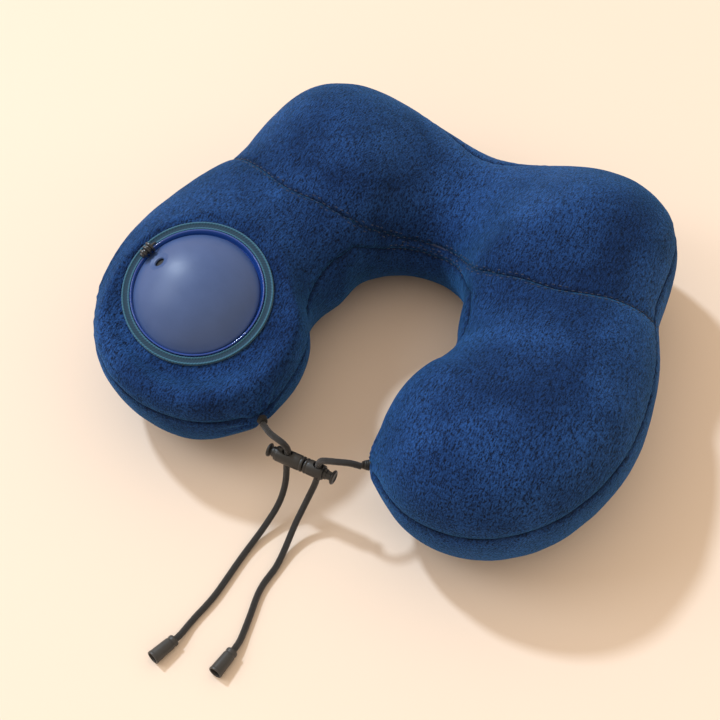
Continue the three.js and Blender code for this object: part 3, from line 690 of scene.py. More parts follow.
skinAngles = np.concatenate([skinAngle.reshape(-1), [-tipAngle, tipAngle]])
planAngle = np.degrees(np.arctan2(points[:, 0], points[:, 1] - pillow["axisY"]))
planRadius = np.hypot(points[:, 0], points[:, 1] - pillow["axisY"])
middleRadius = (outerRadius(skinAngles) + innerRadius(skinAngles)) / 2
outward = smoothStep(planRadius - middleRadius, -22, 22)
innerEdge, outerEdge = heightTable("innerHeight", planAngle), heightTable("outerHeight", planAngle)
edgeHeight = innerEdge * (1 - outward) + outerEdge * outward
edgeField = points[:, 2] - edgeHeight

bvh = BVHTree.FromPolygons([tuple(p) for p in points], [tuple(int(i) for i in t) for t in triangles])


def laidOnSkin(line, tree):
    return np.array([tree.find_nearest(Vector(p))[0] for p in line])


right = [polar(np.array(a), np.array(float(r)), z) for a, r, z in seams["cross"]]
left = [p * np.array([-1, 1, 1]) for p in right[:-1]]
crossLine = evenPath(laidOnSkin(smoothPath(np.array(left + right[::-1]), 1.0), bvh), 1.0)
calmed = np.array([crossLine[max(0, i - 6):i + 7].mean(axis=0) for i in range(len(crossLine))])
crossLine = evenPath(laidOnSkin(calmed, bvh), 1.0)


def seamField(line, surfacePoints, tree):
    # signed distance from a seam and the run along it
    # positive lies to the left of its run, seen from outside
    kd = KDTree(len(line))
    for i, p in enumerate(line):
        kd.insert(Vector(p), i)
    kd.balance()
    tangent = np.gradient(line, axis=0)
    tangent /= np.linalg.norm(tangent, axis=1)[:, None]
    normal = np.array([tree.find_nearest(Vector(p))[1] for p in line])
    side = np.cross(normal, tangent)
    near = np.array([kd.find(Vector(p))[1] for p in surfacePoints])
    gap = surfacePoints - line[near]
    run = near + np.einsum("ij,ij->i", gap, tangent[near])
    flat = gap - tangent[near] * np.einsum("ij,ij->i", gap, tangent[near])[:, None]
    sign = np.sign(np.einsum("ij,ij->i", gap, side[near]))
    return np.linalg.norm(flat, axis=1) * np.where(sign == 0, 1, sign), run


crossField, crossRun = seamField(crossLine, points, bvh)
backCentrePoint = polar(np.array(0.0), np.array(120.0), 70.0)
probe = np.argmin(np.linalg.norm(points - backCentrePoint, axis=1))
if crossField[probe] < 0:
    crossField = -crossField
pumpAway = points - np.array(pump["centre"])
pumpLift = pumpAway @ np.array(pump["axis"])
pumpField = np.linalg.norm(pumpAway - pumpLift[:, None] * np.array(pump["axis"]), axis=1) - pump["hole"]
pumpField = np.where(pumpLift < -12, 60.0, pumpField)
guardField = np.abs(planAngle) - seams["guardAngle"]

sheetData = np.column_stack([points, edgeField, crossField, pumpField, guardField, crossRun])
edgeAt, crossAt, pumpAt, guardAt, runAt = 3, 4, 5, 6, 7


def cutAlong(data, faces, column, where=None):
    # new edges along the zero line of one column, so that a piece can be parted there
    data = [row for row in data]
    value = np.array([row[column] for row in data])
    value[np.abs(value) < 0.12] = 0
    for i in np.where(value == 0)[0]:
        data[i] = data[i].copy()
        data[i][column] = 0
    signs = np.sign(value)
    mixed = (signs[faces].min(axis=1) < 0) & (signs[faces].max(axis=1) > 0)
    if where is not None:
        mixed &= where(np.array(data), faces)
    kept = [tuple(f) for f in faces[~mixed]]
    made = {}

    def between(a, b):
        key = (min(a, b), max(a, b))
        if key not in made:
            t = value[key[0]] / (value[key[0]] - value[key[1]])
            row = data[key[0]] * (1 - t) + data[key[1]] * t
            row[column] = 0
            made[key] = len(data)
            data.append(row)
        return made[key]

    for face in faces[mixed]:
        face = [int(i) for i in face]
        zero = [i for i in range(3) if value[face[i]] == 0]
        if zero:
            a, b, c = (face[(zero[0] + j) % 3] for j in range(3))
            m = between(b, c)
            kept += [(a, b, m), (a, m, c)]
            continue
        lone = next(i for i in range(3) if np.sign(value[face[i]]) != np.sign(value[face[(i + 1) % 3]])
                    and np.sign(value[face[i]]) != np.sign(value[face[(i + 2) % 3]]))
        a, b, c = (face[(lone + j) % 3] for j in range(3))
        p, q = between(a, b), between(a, c)
        kept += [(a, p, q), (p, b, c), (p, c, q)]
    return np.array(data), np.array(kept)


sheetData, triangles = cutAlong(sheetData, triangles, edgeAt)


def aboveEdge(data, faces):
    return data[faces][:, :, edgeAt].mean(axis=1) > 0


sheetData, triangles = cutAlong(sheetData, triangles, crossAt, aboveEdge)
sheetData, triangles = cutAlong(sheetData, triangles, pumpAt, aboveEdge)


def inNeck(data, faces):
    corners = data[faces].mean(axis=1)
    return (corners[:, edgeAt] > 0) & (corners[:, crossAt] < 0) & (corners[:, 1] > 0)


sheetData, triangles = cutAlong(sheetData, triangles, guardAt, inNeck)
print("seams cut:", len(triangles), "faces")


# cloth relief

relief = {
    "billow": 0.9,
    "billowScale": 38.0,
    "rumple": 0.3,
    "rumpleScale": 13.0,
    "gather": 0.75,
    "gatherReach": 15.0,
    "gathers": 9,
    "armBulge": 6.0,
}

flatSkin = newMesh("skinDraft", sheetData[:, :3], triangles)
normals = np.zeros(len(sheetData) * 3, np.float32)
flatSkin.data.vertex_normals.foreach_get("vector", normals)
normals = normals.reshape(-1, 3).astype(float)
bpy.data.objects.remove(flatSkin)

at = sheetData[:, :3]
edge = sheetData[:, edgeAt]
slopeOut = np.sqrt(np.clip(1 - normals[:, 2] ** 2, 0.15, 1))
edgeDistance = np.abs(edge) / slopeOut  # height off the seam, taken along the skin
crossDistance = np.abs(sheetData[:, crossAt])
onTop = smoothStep(edge, -2, 2)


def seamDip(distance, depth):
    wide = seams["creaseDepth"] * depth * np.exp(-(distance / seams["creaseWidth"]) ** 2)
    line = seams["lineDepth"] * np.exp(-(distance / seams["lineWidth"]) ** 2)
    return wide + line


def puckers(distance, run):
    wave = np.sin(2 * np.pi * run / seams["puckerLength"] + 1.3 * np.sin(run / 23.0))
    return seams["pucker"] * wave * np.exp(-(distance / 7.0) ** 2) * smoothStep(distance, 0.0, 2.0)


atAngle = np.degrees(np.arctan2(at[:, 0], at[:, 1] - pillow["axisY"]))
atRadius = np.hypot(at[:, 0], at[:, 1] - pillow["axisY"])
edgeRun = atAngle * np.pi / 180 * atRadius
dip = np.maximum(seamDip(edgeDistance, 0.6), seamDip(crossDistance, 1.0) * onTop)
lift = -dip + puckers(edgeDistance, edgeRun) + puckers(crossDistance, sheetData[:, runAt]) * onTop

small = np.array([noise.noise(Vector(p / relief["billowScale"])) for p in at])
fine = np.array([noise.noise(Vector(p / relief["rumpleScale"]) + Vector((7, 3, 1))) for p in at])
calm = smoothStep(sheetData[:, pumpAt], 0.0, 18.0)  # cloth is taut round the pump
lift += (relief["billow"] * small + relief["rumple"] * fine) * calm
lift -= 0.7 * np.exp(-(np.maximum(sheetData[:, pumpAt], 0) / 1.2) ** 2)
outerSide = smoothStep(atRadius, 118.0, 160.0)
bulgeRound, bulgeUp = np.exp(-((atAngle + 116) / 27) ** 2), np.exp(-((at[:, 2] - 60) / 26) ** 2)
lift += relief["armBulge"] * bulgeRound * outerSide * bulgeUp * calm
for side in (-1, 1):
    base, forward, outwardAxis = nose(side)
    apex = base + forward * pillow["tipPull"]
    gap = at - apex
    distance = np.linalg.norm(gap, axis=1)
    flatGap = gap - np.outer(gap @ forward, forward)
    phase = np.arctan2(flatGap[:, 2], flatGap @ outwardAxis)
    folds = np.sin(relief["gathers"] * phase + 0.7 * np.sin(3 * phase))
    fade = np.exp(-((distance - 9) / relief["gatherReach"]) ** 2)
    lift += relief["gather"] * (folds * fade) * smoothStep(distance, 3.0, 9.0)
    lift -= 1.5 * np.exp(-(distance / 3.5) ** 2)
under = smoothStep(at[:, 2], 0.4, 7.0)
lift = np.where(lift > 0, lift * under, np.where(at[:, 2] < 1.0, 0.0, lift * under))
formed = at + normals * lift[:, None]
formed[:, 2] = np.maximum(formed[:, 2], 0.0)
# painted shade along the edge seam and the cross seam, handed to the velour colour as a point attribute
creaseShade = np.exp(-(np.minimum(edgeDistance, np.where(onTop > 0.5, crossDistance, 99)) / 1.7) ** 2)
print("cloth formed")


def panel(name, keep, nodes, thickness=None):
    faces = triangles[keep]
    used, compact = np.unique(faces, return_inverse=True)
    piece = newMesh(name, formed[used] * mm, compact.reshape(-1, 3))
    # painted seam shade stored on the panel for its colour
    paintedLightMark = piece.data.attributes.new("paintedSeamShade", "FLOAT", "POINT")
    paintedLightMark.data.foreach_set("value", creaseShade[used].astype(np.float32))
    piece.data.shade_smooth()
    applyModifier(piece, "SOLIDIFY", thickness=(thickness or pillow["cloth"]) * mm, offset=-1.0, use_rim=True)
    finishPiece(piece, velourPile, "pillow", nodes)


middle = sheetData[triangles].mean(axis=1)
above = middle[:, edgeAt] > 0
hump = above & (middle[:, crossAt] > 0)
guardStrip = above & ~hump & (middle[:, guardAt] < 0) & (middle[:, 1] > 0)
armSide = above & ~hump & ~guardStrip
panel("panelBack", hump, ["cover_top_back"])
panel("panelLeft", armSide & (middle[:, 0] < 0) & (middle[:, pumpAt] > 0), ["cover_top_left"])
panel("panelRight", armSide & (middle[:, 0] > 0), ["cover_top_right"])
panel("panelUnder", ~above, ["cover_bottom"])
panel("zipGuard", guardStrip, ["zip_guard"], 1.2)
print("panels made")


# bladder

bladder = {
    "along": 150,
    "around": 84,
    "inset": 2.7,
    "film": 0.8,
    "mouth": 39.4,
    "mouthDepth": -12,
    "pumpReach": 51,
    "pumpRoom": -4.2,
    "zipRoom": 43.6,
    "zipY": 9.0,
    "zipHeight": 42,
    "zipBand": 10,
    "zipBackReach": 26,
}


def buildBladder():
    # the cover's formed shape moved in, with room for the pump's base and for the zip
    count, ring = bladder["along"], bladder["around"]
    a, t = np.meshgrid(np.arange(1, count) / count, 2 * np.pi * np.arange(ring) / ring, indexing="ij")
    ends, _ = pillowPoints(np.array([0.0, 1.0]), np.zeros(2))
    base = np.vstack([pillowPoints(a, t)[0].reshape(-1, 3), ends])
    kd = KDTree(len(at))
    for i, p in enumerate(at):
        kd.insert(Vector(p), i)
    kd.balance()
    near = np.array([kd.find(Vector(p))[1] for p in base])
    inner = base + normals[near] * (np.minimum(lift[near], 1.5) - bladder["inset"])[:, None]
    inner[:, 2] = np.maximum(inner[:, 2], bladder["inset"])
    axis = np.array(pump["axis"])
    away = inner - np.array(pump["centre"])
    along = away @ axis
    spread = np.linalg.norm(away - np.outer(along, axis), axis=1)
    deep = (spread < bladder["pumpReach"]) & (along > bladder["pumpRoom"])
    inner[deep] -= np.outer((along - bladder["pumpRoom"])[deep], axis)
    zipY, zipRoom = bladder["zipY"], bladder["zipRoom"]
    zipAway = np.hypot(inner[:, 0], inner[:, 1] - zipY)
    atZip = np.abs(inner[:, 2] - bladder["zipHeight"]) < bladder["zipBand"]
    band = atZip & (zipAway < zipRoom) & (inner[:, 1] > zipY - bladder["zipBackReach"])
    grow = zipRoom / np.maximum(zipAway, 1)
    inner[band, 0] *= grow[band]
    inner[band, 1] = zipY + (inner[band, 1] - zipY) * grow[band]
    faces = []
    for i in range(count - 2):
        for k in range(ring):
            n = (k + 1) % ring
            faces.append((i * ring + k, i * ring + n, (i + 1) * ring + n, (i + 1) * ring + k))
    first, last = len(inner) - 2, len(inner) - 1
    for k in range(ring):
        n = (k + 1) % ring
        faces += [(n, k, first), ((count - 2) * ring + k, (count - 2) * ring + n, last)]
    inMouth = (spread < bladder["mouth"]) & (along > bladder["mouthDepth"])
    film = newMesh("airBladder", inner * mm, [f for f in faces if not all(inMouth[i] for i in f)])
    faceOutward(film)
    film.data.shade_smooth()
    applyModifier(film, "SOLIDIFY", thickness=bladder["film"] * mm, offset=-1.0, use_rim=True)
    finishPiece(film, bladderFilm, "pillow", ["air_bladder"])


buildBladder()
print("bladder made")


# seam stitches

stitches = {"length": 2.5, "pitch": 4.0, "radius": 0.32, "offset": 1.9, "sides": 6}

formedTree = BVHTree.FromPolygons([tuple(p) for p in formed], [tuple(int(i) for i in t) for t in triangles])


def stitchRow(line, offset):
    shapes, faces = [], []
    reach, radius, sides = stitches["length"] / 2, stitches["radius"], stitches["sides"]
    rings = [(-reach, 0.25), (-reach * 0.8, 0.85), (0, 1.0), (reach * 0.8, 0.85), (reach, 0.25)]
    for i in range(6, len(line) - 6, int(stitches["pitch"])):
        tangent = Vector(line[i + 2] - line[i - 2]).normalized()
        spot, normal, _, _ = formedTree.find_nearest(Vector(line[i]))
        across = normal.cross(tangent).normalized()
        spot, normal, _, _ = formedTree.find_nearest(spot + across * offset)
        across = normal.cross(tangent).normalized()
        first = len(shapes)
        for run, share in rings:
            lower = -0.25 * (abs(run) / reach) ** 2
            for k in range(sides):
                a = 2 * math.pi * k / sides
                rise = math.sin(a) * radius * share + lower + 0.05
                ring = across * math.cos(a) * radius * share + normal * rise
                shapes.append((spot + tangent * run + ring) * mm)
        for r in range(len(rings) - 1):
            for k in range(sides):
                n = (k + 1) % sides
                a, b = first + r * sides, first + (r + 1) * sides
                faces.append((a + k, a + n, b + n, b + k))
        faces.append(tuple(first + k for k in reversed(range(sides))))
        faces.append(tuple(first + (len(rings) - 1) * sides + k for k in range(sides)))
    return shapes, faces


def stitchPiece(name, rowsOfStitches):
    allShapes, allFaces = [], []
    for shapes, faces in rowsOfStitches:
        start = len(allShapes)
        allShapes += shapes
        allFaces += [tuple(i + start for i in f) for f in faces]
    piece = newMesh(name, allShapes, allFaces)
    faceOutward(piece)
    piece.data.shade_smooth()
    finishPiece(piece, seamThread, "pillow")


stitchPiece(
    "crossStitches", [stitchRow(crossLine, stitches["offset"]), stitchRow(crossLine, -stitches["offset"])],
)
guardAngles = np.linspace(-30, 30, 61)
guardLine = np.array([polar(a, innerRadius(a) + 3, heightTable("innerHeight", a)) for a in guardAngles])
guardLine = evenPath(laidOnSkin(guardLine, bvh), 1.0)
stitchPiece(
    "guardStitches", [stitchRow(guardLine, stitches["offset"]), stitchRow(guardLine, -stitches["offset"])],
)
print("seams stitched")


# pump

pumpTurn = Vector((0, 0, 1)).rotation_difference(pump["axis"])
pumpFrame = Matrix.Translation(pump["centre"] * mm) @ pumpTurn.to_matrix().to_4x4()

dome = {
    "radius": 38.6, "rise": 18.0, "wall": 2.0, "lip": 1.0, "holeCircle": 28.5, "holeAngle": 167.0,
    "hole": 3.1, "boss": 6.2,
}
# the soft dome sits a little to one side in its collar
domeLean = Vector((-0.512, -0.831, -0.217)) * 1.1 * mm
sphere = (dome["radius"] ** 2 + dome["rise"] ** 2) / (2 * dome["rise"])
sphereCentre = dome["rise"] - sphere


def arc(radius, reachOut, steps):
    end = math.asin(reachOut / radius)
    return [
        (radius * math.sin(end * i / steps), sphereCentre + radius * math.cos(end * i / steps))
        for i in range(steps + 1)
    ]


outerArc = arc(sphere, dome["radius"] - 1.5, 40)
shoulder = rounded([outerArc[-2], (dome["radius"] - 0.2, 0.5), (dome["radius"], -dome["lip"])], 1.4, 5)
innerArc = arc(sphere - dome["wall"], dome["radius"] - dome["wall"] - 0.6, 26)
domeProfile = outerArc[:-2] + shoulder + [(dome["radius"] - dome["wall"], -dome["lip"])] + innerArc[::-1]
pumpDome = turnPiece("pumpDome", domeProfile, Matrix.Identity(4), 128)
tilt = math.asin(dome["holeCircle"] / sphere)
holeTurn = Matrix.Rotation(math.radians(dome["holeAngle"]), 4, "Z")
holeFrame = holeTurn @ Matrix.Translation((0, 0, sphereCentre * mm)) @ Matrix.Rotation(tilt, 4, "Y")
boss = dome["boss"]
recessProfile = [
    (0, sphere + 4), (boss + 1.2, sphere + 4), (boss + 0.9, sphere - 0.30), (boss - 0.2, sphere - 0.62),
    (boss - 1.2, sphere - 0.80), (0, sphere - 0.85),
]
holeProfile = [
    (0, sphere + 3), (dome["hole"] + 0.9, sphere + 3), (dome["hole"] + 0.8, sphere - 0.7),
    (dome["hole"] + 0.25, sphere - 1.0), (dome["hole"], sphere - 1.5), (dome["hole"], sphere - 6),
    (0, sphere - 6),
]
cutWith(pumpDome, turnPiece("recessTool", recessProfile, holeFrame, 64))
cutWith(pumpDome, turnPiece("holeTool", holeProfile, holeFrame, 48))
pumpDome.data.transform(Matrix.Translation(domeLean) @ pumpFrame)
smooth(pumpDome, 40)
finishPiece(pumpDome, domeSkin, "pump_dome", ["pump_dome"])

flapReach = dome["hole"] + 2.6
flapTop = math.sqrt((sphere - dome["wall"]) ** 2 - flapReach ** 2) - 0.3
flapProfile = rounded(
    [(0, flapTop - 0.8), (flapReach, flapTop - 0.8), (flapReach, flapTop), (0, flapTop)], 0.3, 3,
)
inletFlap = turnPiece("inletFlap", flapProfile, pumpFrame @ holeFrame, 48)
finishPiece(inletFlap, flapRubber, "pump_dome", ["inlet_valve_flap"])

domeTop = pumpFrame @ Vector((0, 0, dome["rise"] * mm))
for piece in (pumpDome, inletFlap):
    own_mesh(piece)

collar = {"inner": 37.2, "outer": 40.7, "low": -2.0, "rise": 2.6}
collarProfile = rounded(
    [
        (collar["inner"], collar["low"]), (collar["outer"], collar["low"]),
        (collar["outer"], collar["rise"] - 0.4),
        (collar["outer"] - 0.5, collar["rise"]), (collar["outer"] - 1.0, collar["rise"] - 0.3),
        (collar["inner"] + 1.2, -1.0), (collar["inner"], -1.3),
    ],
    0.5, 5, True,
)
pumpCollar = turnPiece("pumpCollar", collarProfile, pumpFrame, 160)
finishPiece(pumpCollar, collarGloss, "pillow", ["pump_collar"])

binding = {
    "inner": 41.0, "outer": 46.0, "low": -0.9, "bead": 1.7, "valley": 1.05, "loops": 150, "loopDepth": 0.2,
}


def buildBinding():
    inner, outer, low = binding["inner"], binding["outer"], binding["low"]
    profile = rounded(
        [
            (inner, low), (outer, low), (outer, binding["bead"] - 0.5), (outer - 0.7, binding["bead"]),
            (outer - 1.5, binding["valley"]),
            (inner + 1.4, binding["valley"]), (inner + 0.7, binding["bead"]), (inner, binding["bead"] - 0.5),
        ],
        0.45, 4, True,
    )
    segments = binding["loops"] * 4
    band = turnPiece("pumpBinding", profile, Matrix.Identity(4), segments)
    paintedLightMark = band.data.attributes.new("edge", "FLOAT", "POINT")
    layer = band.data.uv_layers.new(name="run")
    co = np.array([v.co for v in band.data.vertices]) / mm
    radius, angle = np.hypot(co[:, 0], co[:, 1]), np.arctan2(co[:, 1], co[:, 0])
    share = (radius - inner) / (outer - inner)
    # painted highlight on the raised inner and outer beads, stored as the edge attribute
    beadHighlight = np.exp(-((share - 0.13) / 0.10) ** 2) + np.exp(-((share - 0.87) / 0.10) ** 2)
    paintedLightMark.data.foreach_set("value", np.clip(beadHighlight, 0, 1).astype(np.float32))
    top = smoothStep(co[:, 2], 0.0, 0.7)
    loops = np.cos(binding["loops"] * angle + 9.0 * share)
    co[:, 2] += binding["loopDepth"] * loops * top
    band.data.vertices.foreach_set("co", (co * mm).ravel())
    for face in band.data.polygons:
        for loop in face.loop_indices:
            i = band.data.loops[loop].vertex_index
            layer.data[loop].uv = ((angle[i] / (2 * math.pi)) % 1.0, share[i])
    band.data.transform(pumpFrame)
    band.data.shade_smooth()
    return band


pumpBinding = buildBinding()
finishPiece(pumpBinding, knitBand, "pillow", ["pump_binding"])
print("pump made")


# air plug

plug = {"length": 9.0, "angle": 167.5, "ring": 40.0, "height": 5.8, "strap": 0.9}
plugFrame = pumpFrame @ Matrix.Rotation(math.radians(plug["angle"]), 4, "Z")
plugBase = Vector((plug["ring"], -plug["length"] / 2, plug["height"])) * mm
lying = Matrix.Translation(plugBase) @ Matrix.Rotation(-math.pi / 2, 4, "X")
ribs = [(0, 0), (2.6, 0), (3.7, 0.3), (3.7, 1.45), (2.6, 1.8), (2.6, 2.85)]
for start, top in ((3.0, 3.4), (5.9, 3.1)):
    ribs += [
        (top, start + 0.1), (top, start + 1.2), (2.2 - start * 0.06, start + 1.7),
        (2.2 - start * 0.06, start + 2.7),
    ]
ribs += [(1.5, 8.9), (1.0, 9.0), (0, 9.0)]
airPlug = turnPiece("airPlug", rounded(ribs, 0.28, 3), plugFrame @ lying, 48)
finishPiece(airPlug, plugRubber, "air_plug", ["air_plug"])

strapLine = [
    (plug["ring"], -4.8, 5.8), (plug["ring"], -6.4, 5.6), (plug["ring"], -7.2, 4.7),
    (plug["ring"], -7.6, 3.7),
]
strapPath = smoothPath(strapLine, 0.25)


def strapRadius(run, share):
    # thinner over its first stretch, next to the plug
    return plug["strap"] * (1.0 - 0.22 * math.sin(min(run / 3.6, 1) * math.pi))


plugStrap = sweep("plugStrap", strapPath, strapRadius, 20)
plugStrap.data.transform(plugFrame)
smooth(plugStrap, 40)
finishPiece(plugStrap, plugRubber, "air_plug", ["plug_strap"])
print("plug made")


# cord lock

lock = {"y": -131.5, "z": 38.0, "lean": 12.0, "radius": 4.7, "bore": 3.5, "cordHole": 2.35}
halves = {
    "Left": {
        "side": -1, "split": -0.15, "end": 19.0, "cordAt": 11.5, "button": 4.9, "buttonRadius": 4.2,
        "boreEnd": 4.2,
    },
    "Right": {
        "side": 1, "split": 0.45, "end": 13.0, "cordAt": 8.8, "button": 6.8, "buttonRadius": 4.4,
        "boreEnd": 1.5,
    },
}
lockLean = Matrix.Rotation(math.radians(-lock["lean"]), 4, "X")
lockFrame = Matrix.Translation((0, lock["y"] * mm, lock["z"] * mm)) @ lockLean


def lockBarrel(name, half):
    side, split, end = half["side"], half["split"], half["end"]
    face = side * split
    radius, bore = lock["radius"], lock["bore"]
    along = lockFrame @ Matrix.Rotation(side * math.pi / 2, 4, "Y")
    profile = [
        (0, face), (radius - 0.5, face), (radius, face + 0.5), (radius, face + 1.4),
        (radius - 0.25, face + 1.7), (radius - 0.25, face + 2.3),
        (radius, face + 2.6), (radius, end - 1.6), (radius - 0.2, end - 1.3), (radius - 0.2, end - 0.5),
        (radius - 0.6, end),
        (bore, end), (bore, half["boreEnd"]), (0, half["boreEnd"]),
    ]
    barrel = turnPiece("lockBarrel" + name, rounded(profile, 0.25, 2), along, 56)
    if side < 0:
        cutWith(barrel, turnPiece("socketTool", [(0, -1), (2.8, -1), (2.8, 3.45), (0, 3.45)], along, 40))
    else:
        spigot = rounded(
            [(0, face + 0.4), (2.5, face + 0.4), (2.5, face - 2.5), (2.1, face - 3.0), (0, face - 3.0)],
            0.3, 3,
        )
        joinWith(barrel, turnPiece("spigot", spigot, along, 40))
    holeMiddle = Matrix.Translation((side * half["cordAt"] * mm, 0, 0))
    through = lockFrame @ holeMiddle @ Matrix.Diagonal((1.12, 1, 1, 1))
    hole = lock["cordHole"]
    tool = [
        (0, -7), (hole + 1.4, -7), (hole + 0.55, -radius + 0.2), (hole, -radius + 1.0),
        (hole, radius - 1.0), (hole + 0.55, radius - 0.2), (hole + 1.4, 7), (0, 7),
    ]
    cutWith(barrel, turnPiece("cordTool", tool, through, 40))
    return barrel


def lockPlunger(name, half):
    side, end = half["side"], half["end"]
    stem, tip, disc = lock["bore"] - 0.3, end + half["button"], half["buttonRadius"]
    inner = half["cordAt"] - 2.0 - 0.3
    outer = half["cordAt"] + 2.0 + 0.3 + 1.6
    along = lockFrame @ Matrix.Rotation(side * math.pi / 2, 4, "Y")
    profile = [
        (0, inner - 1.2), (stem, inner - 1.2), (stem, end + 1.7), (stem - 0.5, end + 2.1),
        (stem - 0.7, tip - 2.4), (disc - 0.5, tip - 1.7),
        (disc, tip - 1.2), (disc, tip - 0.5), (disc - 0.5, tip), (disc - 1.4, tip),
        (disc - 1.9, tip - 0.45), (0, tip - 0.45),
    ]
    plunger = turnPiece("lockPlunger" + name, rounded(profile, 0.25, 3), along, 48)
    bpy.ops.object.select_all(action="DESELECT")
    bpy.ops.mesh.primitive_cube_add(size=1)
    tool = bpy.context.object
    width = outer - inner
    slotMiddle = Matrix.Translation((side * (inner + outer) / 2 * mm, 0, 0))
    slotSize = Matrix.Diagonal((width * mm, 4.7 * mm, 12 * mm, 1))
    tool.data.transform(lockFrame @ slotMiddle @ slotSize)
    bpy.ops.object.mode_set(mode="EDIT")
    bpy.ops.mesh.bevel(offset=0.5 * mm, segments=3, affect="EDGES")
    bpy.ops.object.mode_set(mode="OBJECT")
    cutWith(plunger, tool)
    return plunger


for name, half in halves.items():
    lower = name.lower()
    body = "pillow" if name == "Left" else "lock_right"
    barrel, plunger = lockBarrel(name, half), lockPlunger(name, half)
    applyModifier(
        barrel, "BEVEL", width=0.12 * mm, segments=2, limit_method="ANGLE", angle_limit=math.radians(50),
    )
    for piece in (barrel, plunger):
        smooth(piece, 38)
    finishPiece(barrel, lockPlastic, body, ["lock_barrel_" + lower])
    finishPiece(plunger, lockPlastic, "lock_plunger_" + lower, ["lock_plunger_" + lower])
    half["barrel"], half["plunger"] = barrel, plunger
print("lock made")


# cord ends

bell = {"length": 16.5, "top": 3.5, "mouth": 4.15, "wall": 0.9, "knotDepth": 7.5, "knot": 2.5}


def endFrame(route):
    last, before = Vector(route[-1]), Vector(route[-2])
    drop = (bell["mouth"] - bell["top"]) / bell["length"]
    flat = last - before
    flat.z = 0
    axis = flat.normalized()
    axis.z = drop
    axis.normalize()
    spot = last - axis * (bell["knotDepth"] - bell["knot"] - 0.3)
    spot.z = bell["top"] + 0.12
    return Matrix.Translation(spot * mm) @ Vector((0, 0, 1)).rotation_difference(axis).to_matrix().to_4x4()


def cordEnd(name, route, body):
    place = endFrame(route)
    length, top, mouth, wall, hole = bell["length"], bell["top"], bell["mouth"], bell["wall"], 2.5
    profile = rounded(
        [
            (hole, 0), (top - 0.5, 0), (top, 0.5), (top + 0.05, 1.9), (top - 0.2, 2.3), (top - 0.15, 3.2),
            (top + 0.12, 3.6),
            (mouth - 0.15, length - 1.6), (mouth, length - 1.2), (mouth, length - 0.2), (mouth - 0.3, length),
            (mouth - wall, length), (mouth - wall - 0.2, length - 1.5), (top - wall + 0.15, 1.6), (hole, 1.2),
        ],
        0.3, 3, True,
    )
    shell = turnPiece("cordBell" + name, profile, place, 56)
    finishPiece(shell, bellPlastic, body, ["cord_bell_" + name.lower()])
    loops = []
    for k in range(72):
        t = 2 * math.pi * k / 72
        x, y = (math.sin(t) + 2 * math.sin(2 * t)) * 0.45, (math.cos(t) - 2 * math.cos(2 * t)) * 0.45
        loops.append((x, y, bell["knotDepth"] - math.sin(3 * t)))
    knot = sweep("cordKnot" + name, np.array(loops), lambda run, share: 1.02, 12, True)
    knot.data.transform(place)
    finishPiece(knot, braidedCord, body, ["cord_knot_" + name.lower()])
    return shell, knot


bellLeft, knotLeft = cordEnd("Left", cords["left"], "pillow")
bellRight, knotRight = cordEnd("Right", cords["rightLower"], "lock_right")
pathLength(leftPath)
pathLength(rightPath)
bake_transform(cordRight)
print("cord ends made")


# cord anchors

anchors = {"radius": 3.2, "length": 4.6, "wraps": 3}


def cordAnchor(name, side):
    base, forward, outwardAxis = nose(side)
    axis = Vector(forward * 0.9 + outwardAxis * 0.24 + np.array([0, 0, 0.33])).normalized()
    inner = Vector(base + forward * (pillow["tipPull"] - 2.6) - outwardAxis * 1.2)
    place = Matrix.Translation(inner * mm) @ Vector((0, 0, 1)).rotation_difference(axis).to_matrix().to_4x4()
    profile = [(0, 0), (2.9, 0)]
    for k in range(anchors["wraps"]):
        z = 0.5 + k * 1.15
        bulge = anchors["radius"] - k * 0.25
        profile += [(bulge - 0.35, z), (bulge, z + 0.35), (bulge, z + 0.75), (bulge - 0.35, z + 1.1)]
    profile += [(2.35, anchors["length"]), (0, anchors["length"])]
    piece = turnPiece("cordAnchor" + name, rounded(profile, 0.2, 2), place, 36)
    finishPiece(piece, braidedCord, "pillow", ["cord_anchor_" + name.lower()])


cordAnchor("Left", -1)
cordAnchor("Right", 1)
print("anchors made")


# carried-over pieces

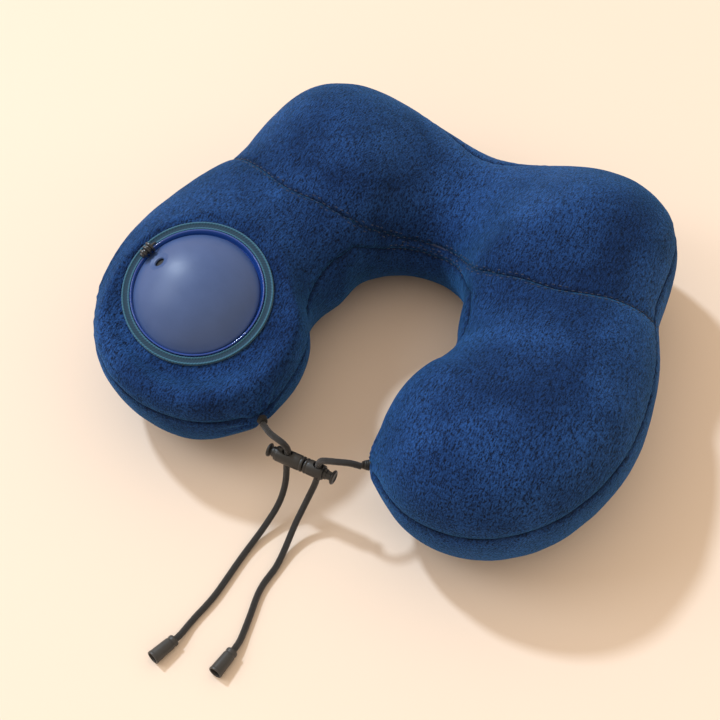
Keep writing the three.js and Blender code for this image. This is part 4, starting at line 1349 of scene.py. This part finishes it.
carried = {
    "pump_base": basePlastic,
    "outlet_valve_flap": flapRubber,
    "lock_spring_left": springSteel,
    "lock_spring_right": springSteel,
    "zip_tape_upper": zipTapeCloth,
    "zip_tape_lower": zipTapeCloth,
    "zip_coil": zipCoilNylon,
    "zip_stop": springSteel,
    "zip_slider": zipPaint,
    "zip_pull": zipPaint,
}
for node, surface in carried.items():
    paint(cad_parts[node], surface)
print("carried pieces painted")


# floor and light

studio = {
    "floor": shade(0.80, 0.665, 0.560),
    "floorFleck": shade(0.81, 0.68, 0.575),
    "sky": shade(1.0, 0.83, 0.64),
    "skyStrength": 0.94,
    "sunFrom": (-0.92, 0.30, 1.02),
    "sunStrength": 2.0,
    "sunSize": 5.0,
    "boxFrom": (-0.675, -0.332, 0.654),
    "boxPower": 6.0,
}
floorPaper = Surface("floorPaper", roughness=0.9)
fleck = floorPaper.grain(floorPaper.place(), 3.0, 2.0)
fleck = floorPaper.spread(fleck, 0.3, 0.7)
floorPaper.feed(base_color=floorPaper.blend(fleck, studio["floor"], studio["floorFleck"]))
bpy.ops.object.select_all(action="DESELECT")
bpy.ops.mesh.primitive_plane_add(size=12, location=(0, 0, 0))
floor = bpy.context.object
floor.name = "studioFloor"
floor.data.materials.append(floorPaper.material)

world = bpy.data.worlds.new("studioSky")
world.use_nodes = True
world.node_tree.nodes["Background"].inputs["Color"].default_value = studio["sky"]
world.node_tree.nodes["Background"].inputs["Strength"].default_value = studio["skyStrength"]
bpy.context.scene.world = world

bpy.ops.object.light_add(type="SUN", location=(0, 0, 2))
sun = bpy.context.object
sun.data.energy = studio["sunStrength"]
sun.data.angle = math.radians(studio["sunSize"])
sun.data.color = (0.74, 0.87, 1.0)
sun.rotation_mode = "QUATERNION"
sun.rotation_quaternion = Vector(studio["sunFrom"]).to_track_quat("Z", "Y")
boxFrom = Vector(studio["boxFrom"]).normalized()
bpy.ops.object.light_add(type="AREA", location=boxFrom * 1.6)
softBox = bpy.context.object
softBox.data.energy = studio["boxPower"]
softBox.data.size = 0.7
softBox.data.color = (0.85, 0.93, 1.0)
softBox.rotation_mode = "QUATERNION"
softBox.rotation_quaternion = boxFrom.to_track_quat("Z", "Y")
bpy.context.scene.view_settings.view_transform = "Standard"
print("studio lit")
